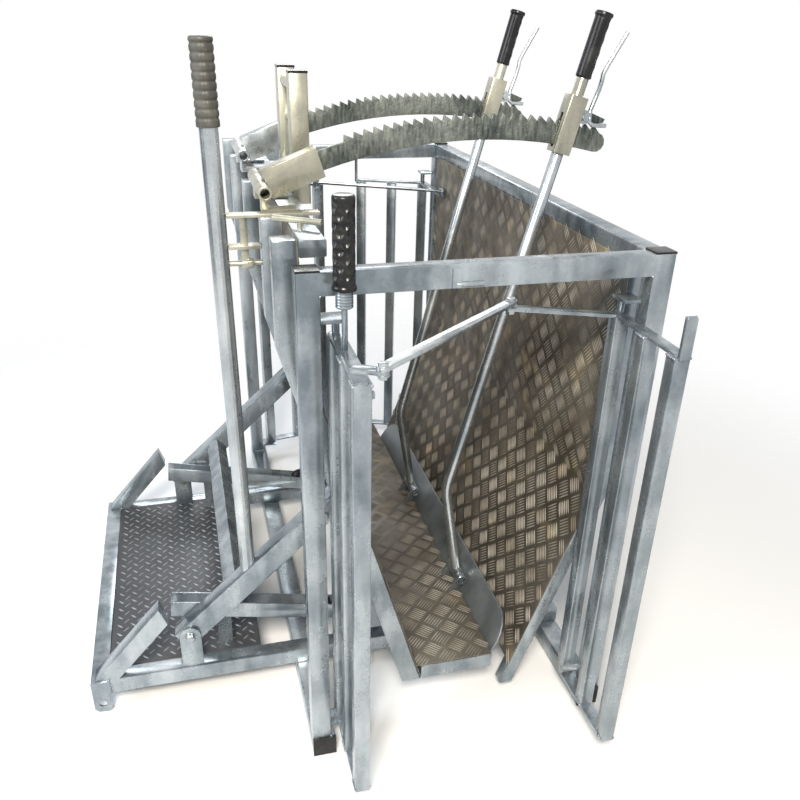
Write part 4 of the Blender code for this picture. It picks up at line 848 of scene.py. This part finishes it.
def lathe(name, outline, pull, matrix, around, body, look, sharp_from=35.0):
    """A piece turned about Z through (radius, height) points; pull moves each one in."""
    piece = bmesh.new()
    rings = []
    for radius, height in outline:
        if radius < SAME_PLACE:
            rings.append([piece.verts.new((0, 0, height))])
            continue
        ring = []
        for step in range(around):
            angle = 2 * math.pi * step / around
            shrunk = radius - pull(angle, height, radius)
            ring.append(piece.verts.new((shrunk * math.cos(angle), shrunk * math.sin(angle), height)))
        rings.append(ring)
    for lower, upper in zip(rings, rings[1:]):
        for step in range(around):
            following = (step + 1) % around
            corners = [lower[step % len(lower)], lower[following % len(lower)]]
            corners += [upper[following % len(upper)], upper[step % len(upper)]]
            unique = list(dict.fromkeys(corners))
            if len(unique) > 2:
                piece.faces.new(unique)
    bmesh.ops.transform(piece, matrix=matrix, verts=piece.verts)
    bmesh.ops.recalc_face_normals(piece, faces=piece.faces)
    return into_scene(name, mesh_of(name, piece), body, look, sharp_from)


def rising(low, high, count, radius):
    """Evenly spaced (radius, height) points, upwards."""
    return [(radius, low + (high - low) * step / count) for step in range(count + 1)]


def still(angle, height, radius):
    """No pull: the lathe's outline stays as it is."""
    return 0.0


# Points further in than this share of a grip's radius are on its flat ends.
END_SHARE = 0.9


# %% The bolt's grip and the ribbed collar under it
BOLT_PLACE = (0.075, -0.0217)
COLLAR_LOW, COLLAR_TOP = 1.031, 1.060
GRIP_LONG = 0.148
GRIP_RADIUS = 0.0185
DIAMONDS_LOW = 0.012
DIAMONDS_HIGH = GRIP_LONG - 0.010
DIAMOND_FADE = 0.010
DIAMOND_TURNS = 3.0
DIAMOND_SLANT = 118.0
DIAMOND_DEEP = 0.0036


def diamonds(angle, height, radius):
    """Diamond pockets pressed in between crossed ridges, on the grip's middle."""
    if not DIAMONDS_LOW < height < DIAMONDS_HIGH or radius < GRIP_RADIUS * END_SHARE:
        return 0.0
    first = math.sin(DIAMOND_TURNS * angle + height * DIAMOND_SLANT)
    second = math.sin(DIAMOND_TURNS * angle - height * DIAMOND_SLANT)
    pocket = min(1.0, 1.25 * abs(first) * abs(second))
    from_ends = min(height - DIAMONDS_LOW, DIAMONDS_HIGH - height)
    return DIAMOND_DEEP * pocket * min(1.0, from_ends / DIAMOND_FADE)


outline = [(0.0, 0.0), (0.0195, 0.0), (0.0203, 0.0008)]
outline += [(0.0205, 0.0020), (0.0205, 0.0050), (0.0200, 0.0065)]
outline += rising(0.0085, GRIP_LONG - 0.004, count=80, radius=GRIP_RADIUS)
outline += [(GRIP_RADIUS - 0.0007, GRIP_LONG - 0.0022)]
outline += [(GRIP_RADIUS - 0.002, GRIP_LONG - 0.0006)]
outline += [(GRIP_RADIUS - 0.004, GRIP_LONG), (0.0, GRIP_LONG)]
stand = Matrix.Translation(at(*BOLT_PLACE, COLLAR_TOP + 0.0003))
grip = lathe(
    "gate_grip_diamonds", outline, diamonds, stand, 96, "base_frame", RUBBER)
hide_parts("gate_grip_near")

RIBS = 6
RIB_VALLEY, RIB_CREST = 0.0136, 0.0146
rib = (COLLAR_TOP - COLLAR_LOW) / RIBS
collar = [(0.0, COLLAR_LOW)]
for step in range(RIBS):
    low = COLLAR_LOW + step * rib
    collar += [(RIB_VALLEY, low + rib * 0.05), (RIB_CREST, low + rib * 0.30)]
    collar += [(RIB_CREST, low + rib * 0.65), (RIB_VALLEY, low + rib * 0.95)]
collar.append((0.0, COLLAR_TOP))
stand = Matrix.Translation(at(*BOLT_PLACE, 0))
lathe("gate_bolt_collar", collar, still, stand, 40, "base_frame", ZINC)
print("bolt's grip and collar done")

# %% The operator's grip
FOOT_OUT, FOOT_TURN = 0.1925, math.radians(42)
OPERATOR_Y = 0.27205
OPERATOR_FOOT = Vector((
    PIVOT[0] + FOOT_OUT * math.cos(FOOT_TURN), OPERATOR_Y,
    PIVOT[1] + FOOT_OUT * math.sin(FOOT_TURN)))
OPERATOR_TOP = Vector((-0.104, OPERATOR_Y, 1.405))
OPERATOR_GRIP = 0.135
OPERATOR_RADIUS = 0.0206
RINGS_LOW, RINGS_HIGH = 0.006, OPERATOR_GRIP - 0.002
RING_PITCH, RING_DEEP = 0.0145, 0.0016
PADS, PAD_DEEP = 10, 0.0005


def pressed_rings(angle, height, radius):
    """Shallow rings broken into pads round the grip."""
    if not RINGS_LOW < height < RINGS_HIGH or radius < OPERATOR_RADIUS * END_SHARE:
        return 0.0
    ring = 0.5 + 0.5 * math.cos(height * 2 * math.pi / RING_PITCH)
    pad = 0.5 + 0.5 * math.cos(angle * PADS)
    return RING_DEEP * ring ** 3 + PAD_DEEP * pad ** 4


outline = [(0.0, 0.0), (0.0200, 0.0), (OPERATOR_RADIUS, 0.0012)]
outline += rising(0.003, OPERATOR_GRIP + 0.002, count=90, radius=OPERATOR_RADIUS)
outline += [(0.0196, OPERATOR_GRIP + 0.0045), (0.0170, OPERATOR_GRIP + 0.006)]
outline += [(0.0, OPERATOR_GRIP + 0.006)]
operator_up = (OPERATOR_TOP - OPERATOR_FOOT).normalized()
stand = Matrix.Translation(CORNER + OPERATOR_TOP - operator_up * OPERATOR_GRIP)
stand = stand @ operator_up.to_track_quat("Z", "Y").to_matrix().to_4x4()
grip = lathe(
    "operator_grip_rings", outline, pressed_rings, stand, 80, "crate", GREY_RUBBER)
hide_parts("operator_grip")
print("operator's grip leans", round(math.degrees(operator_up.angle(Vector((0, 0, 1)))), 1), "degrees")

# %% The two clamp grips
CLAMP_BEND = Vector((-0.041, 0.255))
CLAMP_UP = Vector((math.sin(LEVER_LEAN), math.cos(LEVER_LEAN)))
BOX_TOP_R = 1.158
STUB_NECK = 0.034
CLAMP_GRIP = 0.120
CLAMP_RADIUS = 0.0160
HOLLOWS_HIGH = CLAMP_GRIP - 0.014
FINGER_PITCH, FINGER_DEEP = 0.024, 0.0011


def lever_point(radius):
    """Where the straight run of a clamp lever is this far from its knuckle, in the XZ plane."""
    rise = CLAMP_BEND.dot(CLAMP_UP)
    along = math.sqrt(rise ** 2 - CLAMP_BEND.length_squared + radius ** 2) - rise
    return KNUCKLE + CLAMP_BEND + CLAMP_UP * along


def finger_waves(angle, height, radius):
    """Four shallow hollows on the side that the fingers hold."""
    if radius < CLAMP_RADIUS * END_SHARE or height > HOLLOWS_HIGH:
        return 0.0
    side = max(0.0, math.cos(angle)) ** 2
    return FINGER_DEEP * side * (0.5 - 0.5 * math.cos(height * 2 * math.pi / FINGER_PITCH))


outline = [(0.0, 0.0), (0.0148, 0.0), (0.0156, 0.0012)]
outline += rising(0.0025, CLAMP_GRIP - 0.010, count=60, radius=CLAMP_RADIUS)
outline += [(0.0168, CLAMP_GRIP - 0.0080), (0.0182, CLAMP_GRIP - 0.0065)]
outline += [(0.0184, CLAMP_GRIP - 0.0030), (0.0176, CLAMP_GRIP - 0.0006)]
outline += [(CLAMP_RADIUS, CLAMP_GRIP), (0.0, CLAMP_GRIP)]
foot = lever_point(BOX_TOP_R) + CLAMP_UP * STUB_NECK
for end, y in LEVER_Y.items():
    name = "clamp_grip_%s_moulded" % end
    stand = Matrix.Translation(at(foot.x, y, foot.y)) @ Matrix.Rotation(LEVER_LEAN, 4, "Y")
    grip = lathe(
        name, outline, finger_waves, stand, 48, "clamp_" + end, RUBBER)
    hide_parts("clamp_grip_" + end)
print("clamp grips done")

# %% [markdown]
# ## Fasteners
#
# Bolts and nuts all look alike, so one tree makes them all: a washer, a hexagon and its
# chamfer, stood on every point of a seed mesh and turned to the axis that is asked for.
# Their sizes come in fours: the hexagon's radius and height, then the washer's.

# %% The tree for washers and hexagons
SIZE_LABELS = ("Hexagon Radius", "Hexagon Height", "Washer Radius", "Washer Height")
STANDARD_SIZES = (0.0092, 0.0070, 0.0120, 0.0018)
BODY_SHARE, CHAMFER_SHARE, CHAMFER_TAPER = 0.82, 0.18, 0.86
size_inputs = [(label, "Float", size) for label, size in zip(SIZE_LABELS, STANDARD_SIZES)]
BOLT_TREE, bolt_in, bolt_out = geometry_tree(
    "hexagon_fasteners",
    size_inputs + [("Rotation", "Rotation", None), ("Finish", "Material", None)])


def bolt_disc(sides, radius, top_radius, height, low):
    """One turned step of the fastener, standing on a height."""
    disc = add(BOLT_TREE, "GeometryNodeMeshCone", {
        "Vertices": sides, "Radius Bottom": radius, "Radius Top": top_radius, "Depth": height})
    lift = add(BOLT_TREE, "ShaderNodeCombineXYZ", {2: low})
    return add(BOLT_TREE, "GeometryNodeTransform", {
        "Geometry": disc.outputs["Mesh"], "Translation": lift.outputs[0]}).outputs[0]


hexagon_radius, hexagon_height, washer_radius, washer_height = (
    bolt_in[label] for label in SIZE_LABELS)
body_height = arithmetic(BOLT_TREE, "MULTIPLY", hexagon_height, BODY_SHARE)
chamfer_height = arithmetic(BOLT_TREE, "MULTIPLY", hexagon_height, CHAMFER_SHARE)
chamfer_radius = arithmetic(BOLT_TREE, "MULTIPLY", hexagon_radius, CHAMFER_TAPER)
chamfer_low = arithmetic(BOLT_TREE, "ADD", washer_height, body_height)
ROUND, SIX_SIDED = 24, 6
layers = [
    bolt_disc(ROUND, washer_radius, washer_radius, washer_height, 0.0),
    bolt_disc(SIX_SIDED, hexagon_radius, hexagon_radius, body_height, washer_height),
    bolt_disc(SIX_SIDED, hexagon_radius, chamfer_radius, chamfer_height, chamfer_low)]
stack = BOLT_TREE.nodes.new("GeometryNodeJoinGeometry")
for layer in layers:
    BOLT_TREE.links.new(layer, stack.inputs[0])
stood = add(BOLT_TREE, "GeometryNodeInstanceOnPoints", {
    "Points": bolt_in["Geometry"], "Instance": stack.outputs[0],
    "Rotation": bolt_in["Rotation"]})
end_tree(BOLT_TREE, stood.outputs[0], bolt_in["Finish"], bolt_out)

# %% A helper that places fasteners
UP = (0.0, 0.0, 0.0)
DOWN = (math.pi, 0.0, 0.0)
FRONT = (math.pi / 2, 0.0, 0.0)
BACK = (-math.pi / 2, 0.0, 0.0)
SIDEWAYS = (0.0, math.pi / 2, 0.0)


def fasteners(name, body, places, turn, sizes=STANDARD_SIZES, look=SILVER):
    """Washers and hexagons at places on the drawing, all turned one way."""
    seed = bpy.data.meshes.new(name + "_points")
    seed.from_pydata([at(*place) for place in places], [], [])
    values = {"Rotation": turn, "Finish": look, **dict(zip(SIZE_LABELS, sizes))}
    mesh = grow(name, BOLT_TREE, values, seed)
    into_scene(name, mesh, body, look, 30.0)


def round_about(centre, radius, degrees):
    """A place in the XY plane, at a radius and a turn from a centre."""
    angle = math.radians(degrees)
    return centre[0] + radius * math.cos(angle), centre[1] + radius * math.sin(angle)


# %% Nuts and washers of the gates' links
EAR_OUT, EAR_TURN = 0.190, {"near": -78, "far": -2}
CRANK_OUT, CRANK_TURN = 0.205, {"near": 158, "far": -89}
EAR_LOW_Z, LINK_TOP_Z = 0.956, 0.9683
CLEAR = 0.0002
WASHER_STACK = (0.0050, 0.0030, 0.0112, 0.0020)
CRANK_NUT = (0.0092, 0.0070, 0.0108, 0.0018)
for end, hinge_y in GATE_Y.items():
    ear = round_about((LEFT_HINGE_X, hinge_y), EAR_OUT, EAR_TURN[end])
    crank = round_about((RIGHT_HINGE_X, hinge_y), CRANK_OUT, CRANK_TURN[end])
    fasteners("link_nut_" + end, end + "_gate_link", [(*ear, EAR_LOW_Z - CLEAR)], DOWN)
    both_pins = [(*ear, LINK_TOP_Z), (*crank, LINK_TOP_Z)]
    fasteners("link_washers_" + end, end + "_gate_link", both_pins, UP, WASHER_STACK)
    under_crank = [(*crank, GATE_TOP + SINK)]
    fasteners("crank_nut_" + end, end + "_gate_right", under_crank, DOWN, CRANK_NUT)
print("link fasteners done")

# %% The leaf's screw, the pivot's washers and the triggers' bolts
LEAF_SCREW = (0.0901, -0.1440, 0.9300)
SCREW_SIZES = (0.0072, 0.0050, 0.0090, 0.0012)
fasteners("leaf_screw", "near_gate_left", [LEAF_SCREW], SIDEWAYS, SCREW_SIZES, DULL)
PIVOT_FACE = (PIVOT[0], 0.2473, PIVOT[1])
PIVOT_SIZES = (0.0112, 0.0086, 0.0140, 0.0016)
fasteners("pivot_washers_near", "base_frame", [PIVOT_FACE], FRONT, PIVOT_SIZES, ZINC)
TRIGGER = (0.645, 1.271)
TRIGGER_HALF = 0.0094
NUT_SIZES = (0.0085, 0.0060, 0.0135, 0.0028)
HEAD_SIZES = (0.0070, 0.0045, 0.0095, 0.0014)
for end, y in LEVER_Y.items():
    front_face = [(TRIGGER[0], y - TRIGGER_HALF, TRIGGER[1])]
    back_face = [(TRIGGER[0], y + TRIGGER_HALF, TRIGGER[1])]
    fasteners("trigger_nut_" + end, "clamp_" + end, front_face, FRONT, NUT_SIZES)
    fasteners("trigger_head_" + end, "clamp_" + end, back_face, BACK, HEAD_SIZES)
print("fasteners done")

# %% [markdown]
# ## The tabs on the right gate leaves
#
# With the old tabs cut off, each right leaf gets its new one: an upright flat that stands
# up from the end of the top bar. It is an outline with two rounded corners, drawn twice
# and joined by faces, and only its sharp edges get a bevel.

# %% Draw the tabs
TAB_THICK, TAB_HALF = 0.005, 0.011
TAB_TOP = GATE_TOP + 0.075
TAB_CORNER = 0.006
CORNER_STEPS = 4
TAB_SINK = 0.001
TAB_ROUND = 0.0007
SHARP_ANGLE = 0.8


def tab(end):
    """An upright flat with a rounded top, welded to the end of the leaf's top bar."""
    turn = right_leaf(end)
    outline = [(-TAB_HALF, GATE_TOP - TAB_SINK), (TAB_HALF, GATE_TOP - TAB_SINK)]
    for centre, start in ((TAB_HALF - TAB_CORNER, 0), (TAB_CORNER - TAB_HALF, 90)):
        for step in range(CORNER_STEPS + 1):
            angle = math.radians(start + step * 90 / CORNER_STEPS)
            across = centre + TAB_CORNER * math.cos(angle)
            outline.append((across, TAB_TOP - TAB_CORNER + TAB_CORNER * math.sin(angle)))
    piece = bmesh.new()
    rings = []
    for x in (LEAF_END - TAB_SINK, LEAF_END + TAB_THICK):
        rings.append([piece.verts.new(at(*(turn @ Vector((x, y, z))))) for y, z in outline])
    count = len(outline)
    for step in range(count):
        after = (step + 1) % count
        piece.faces.new([rings[0][step], rings[0][after], rings[1][after], rings[1][step]])
    piece.faces.new(rings[0][::-1])
    piece.faces.new(rings[1])
    bmesh.ops.recalc_face_normals(piece, faces=piece.faces)
    sharp = [edge for edge in piece.edges if edge.calc_face_angle(0) > SHARP_ANGLE]
    bmesh.ops.bevel(
        piece, geom=sharp, offset=TAB_ROUND, segments=2, affect="EDGES", clamp_overlap=True)
    mesh = mesh_of("gate_tab_" + end, piece)
    into_scene("gate_tab_" + end, mesh, end + "_gate_right", ZINC, 40.0)
    print("gate_tab_" + end, len(mesh.polygons), "faces")


for end in GATE_Y:
    tab(end)

# %% [markdown]
# ## Rods, pins and tube ends
#
# Thin rods are quickest as curves with a round bevel, turned into a mesh at once so that
# each is a plain piece. The stop pin at the foot of the gate, the rod across the wall's
# rail, the split pins at the knuckles and the triggers' handles are all made this way.

# %% A helper that bends a rod


def rod(name, points, radius, body, look, sides=6):
    """A round rod through places on the drawing, its ends closed."""
    curve = bpy.data.curves.new(name, "CURVE")
    curve.dimensions = "3D"
    curve.bevel_depth = radius
    curve.bevel_resolution = sides
    curve.use_fill_caps = True
    line = curve.splines.new("POLY")
    line.points.add(len(points) - 1)
    for point, place in zip(line.points, points):
        point.co = (*at(*place), 1.0)
    carrier = bpy.data.objects.new(name, curve)
    scene.collection.objects.link(carrier)
    mesh = evaluated(carrier)
    piece = bmesh.new()
    piece.from_mesh(mesh)
    bmesh.ops.remove_doubles(piece, verts=piece.verts, dist=SAME_PLACE)
    bmesh.ops.recalc_face_normals(piece, faces=piece.faces)
    piece.to_mesh(mesh)
    piece.free()
    into_scene(name, mesh, body, look)


# %% The gate's stop pin and the rod across the wall's rail
STOP_PIN = [(0.641, 0.0275, 0.0940), (0.592, 0.0275, 0.0970)]
RAIL_ROD = [(-0.0085, 0.1935, 1.1290), (0.0690, 0.1420, 1.1290)]
RAIL_ROD_STEM = [(0.0340, 0.1652, 1.1120), (0.0340, 0.1652, 1.1280)]
rod("gate_stop_pin", STOP_PIN, 0.0072, "base_frame", SILVER)
rod("rail_rod", RAIL_ROD, 0.0055, "crate", BRIGHT)
rod("rail_rod_stem", RAIL_ROD_STEM, 0.0045, "crate", BRIGHT)
print("stop pin and rail rod done")

# %% Tube ends with split pins at the knuckles
KNUCKLE_HALF, CLEVIS_THICK, TUBE_OUT = 0.0313, 0.005, 0.006
KNUCKLE_END = KNUCKLE_HALF + CLEVIS_THICK + TUBE_OUT
PIN_OUT = 0.0075
PIN_UP, PIN_DOWN = (0.0080, 0.0115), (-0.0065, -0.0085)
TUBE_WALL = [
    (0.0, -0.0060), (0.0135, -0.0060), (0.0135, 0.0085), (0.0130, 0.0090),
    (0.0102, 0.0090), (0.0098, 0.0085), (0.0095, 0.0), (0.0, 0.0)]
# Painted shade: a black disc deep in each tube end stands for the dark inside of the hollow bore.
BORE_SHADE_DISC = [(0.0, 0.0), (0.0096, 0.0), (0.0096, 0.0008), (0.0, 0.0008)]
for end, y in LEVER_Y.items():
    end_y = y - KNUCKLE_END
    pin = [(KNUCKLE.x + x, end_y - PIN_OUT, KNUCKLE.y + z) for x, z in (PIN_UP, PIN_DOWN)]
    rod("split_pin_" + end, pin, 0.0017, "crate", SILVER, sides=3)
    stand = Matrix.Translation(at(KNUCKLE.x, end_y + 0.0025, KNUCKLE.y))
    stand = stand @ Matrix.Rotation(math.pi / 2, 4, "X")
    lathe("knuckle_end_" + end, TUBE_WALL, still, stand, 32, "crate", SILVER, 40.0)
    # The black disc in the bore is painted shade, not a part of the lever.
    lathe(
        "knuckle_bore_shade_" + end, BORE_SHADE_DISC, still, stand, 32, "crate", RUBBER, 40.0)
print("knuckle ends done")

# %% The triggers' handles
ROD_BEND = [(0.050, -0.017), (0.020, -0.0155), (0.0125, -0.0095), (0.0125, -0.002)]
ROD_RISE = [
    (0.0165, 0.012), (0.0300, 0.050), (0.0340, 0.066), (0.0350, 0.079), (0.0420, 0.094),
    (0.0765, 0.1545)]
ROD_ASIDE = 0.0090
for end, y in LEVER_Y.items():
    places = [(TRIGGER[0] + x, y - ROD_ASIDE, TRIGGER[1] + z) for x, z in ROD_BEND]
    places += [(TRIGGER[0] + x, y, TRIGGER[1] + z) for x, z in ROD_RISE]
    rod("trigger_rod_" + end, places, 0.0044, "trigger_" + end, SILVER)
print("rods done")

# %% [markdown]
# ## Weld beads
#
# A hand weld is a row of small puddles that overlap like fallen coins. The seams are
# drawn as plain edges, and a tree walks along them and drops a small ball every two or
# three millimetres. A fixed seed varies the size of each ball.

# %% The tree for weld beads
WELD_TREE, weld_in, weld_out = geometry_tree("weld_beads", [
    ("Bead", "Float", 0.0026), ("Step", "Float", 0.0024), ("Finish", "Material", None)])
seam = add(WELD_TREE, "GeometryNodeMeshToCurve", {
    "Mesh": weld_in["Geometry"]})
walk = WELD_TREE.nodes.new("GeometryNodeCurveToPoints")
walk.mode = "LENGTH"
join_up(WELD_TREE, walk, {"Curve": seam.outputs[0], "Length": weld_in["Step"]})
ball = add(WELD_TREE, "GeometryNodeMeshUVSphere", {
    "Segments": 8, "Rings": 5, "Radius": weld_in["Bead"]})
# A Random Value node keeps the ends of its float range in its third and fourth sockets.
FLOAT_LOW_IN, FLOAT_HIGH_IN, FLOAT_OUT = 2, 3, 1
jitter = WELD_TREE.nodes.new("FunctionNodeRandomValue")
jitter.data_type = "FLOAT"
join_up(WELD_TREE, jitter, {FLOAT_LOW_IN: 0.8, FLOAT_HIGH_IN: 1.2, "Seed": 7})
dropped = add(WELD_TREE, "GeometryNodeInstanceOnPoints", {
    "Points": walk.outputs["Points"], "Instance": ball.outputs["Mesh"],
    "Scale": jitter.outputs[FLOAT_OUT]})
end_tree(WELD_TREE, dropped.outputs[0], weld_in["Finish"], weld_out)

# %% Weld the frame


def welds(name, body, seams):
    """Beads along straight seams, each a pair of places on the drawing."""
    points, edges = [], []
    for start, end in seams:
        edges.append((len(points), len(points) + 1))
        points += [at(*start), at(*end)]
    seed = bpy.data.meshes.new(name + "_seams")
    seed.from_pydata(points, edges, [])
    mesh = grow(name, WELD_TREE, {"Finish": ZINC}, seed)
    into_scene(name, mesh, body, ZINC, 60.0)
    print(name, len(mesh.polygons), "faces")


RAIL_LOW = RAIL_TOP - TUBE
RAIL_INSET, POST_INSET = 0.002, 0.001
BEAM_Y = (0.241, 0.980)
BEAM_END_X, BEAM_END_LOW_Z, BEAM_END_HIGH_Z = -0.430, 0.052, 0.089
frame_seams = []
for y in (0.0, LENGTH - TUBE):
    for x in (TUBE, WIDTH - TUBE):
        frame_seams.append(((x, y + RAIL_INSET, RAIL_LOW), (x, y + TUBE - RAIL_INSET, RAIL_LOW)))
for y in (0.0, LENGTH - TUBE):
    for x in (TUBE, WIDTH - TUBE):
        frame_seams.append(((x, y + POST_INSET, SKID), (x, y + TUBE, SKID)))
    inner_y = y + TUBE if y == 0.0 else y
    frame_seams.append(((POST_INSET, inner_y, SKID), (TUBE, inner_y, SKID)))
    frame_seams.append(((WIDTH - TUBE, inner_y, SKID), (WIDTH, inner_y, SKID)))
for y in BEAM_Y:
    for x in (0.0, SKID, WIDTH - SKID):
        frame_seams.append(((x, y, SKID), (x, y + TUBE, SKID)))
    frame_seams.append(((BEAM_END_X, y, BEAM_END_LOW_Z), (BEAM_END_X, y, BEAM_END_HIGH_Z)))
welds("frame_welds", "base_frame", frame_seams)

# %% Weld the gates' bars
BAR_PLACES = (0.102, 0.204)
BAR_FACES = (-0.0152, 0.0152)
BAR_LOW_Z, BAR_HIGH_Z = 0.061, 0.9505
SEAM_HALF = 0.013
FACE_IN = 0.96
for end, hinge_y in GATE_Y.items():
    leaves = (
        ("left", LEFT_HINGE_X, LEFT_LEAF_TURN[end]), ("right", RIGHT_HINGE_X, RIGHT_LEAF_TURN[end]))
    for side, hinge_x, degrees in leaves:
        seams = []
        angle = math.radians(degrees)
        along = Vector((math.cos(angle), math.sin(angle), 0))
        out = Vector((-along.y, along.x, 0))
        half_seam = along * SEAM_HALF
        for step in BAR_PLACES:
            for face in BAR_FACES:
                foot = Vector((hinge_x, hinge_y, BAR_LOW_Z)) + along * step + out * face * FACE_IN
                seams.append((tuple(foot - half_seam), tuple(foot + half_seam)))
                top = Vector((foot.x, foot.y, BAR_HIGH_Z))
                seams.append((tuple(top - half_seam), tuple(top + half_seam)))
        welds("gate_welds_%s_%s" % (end, side), "%s_gate_%s" % (end, side), seams)

# %% Set the view transform
scene.view_settings.view_transform = "Standard"
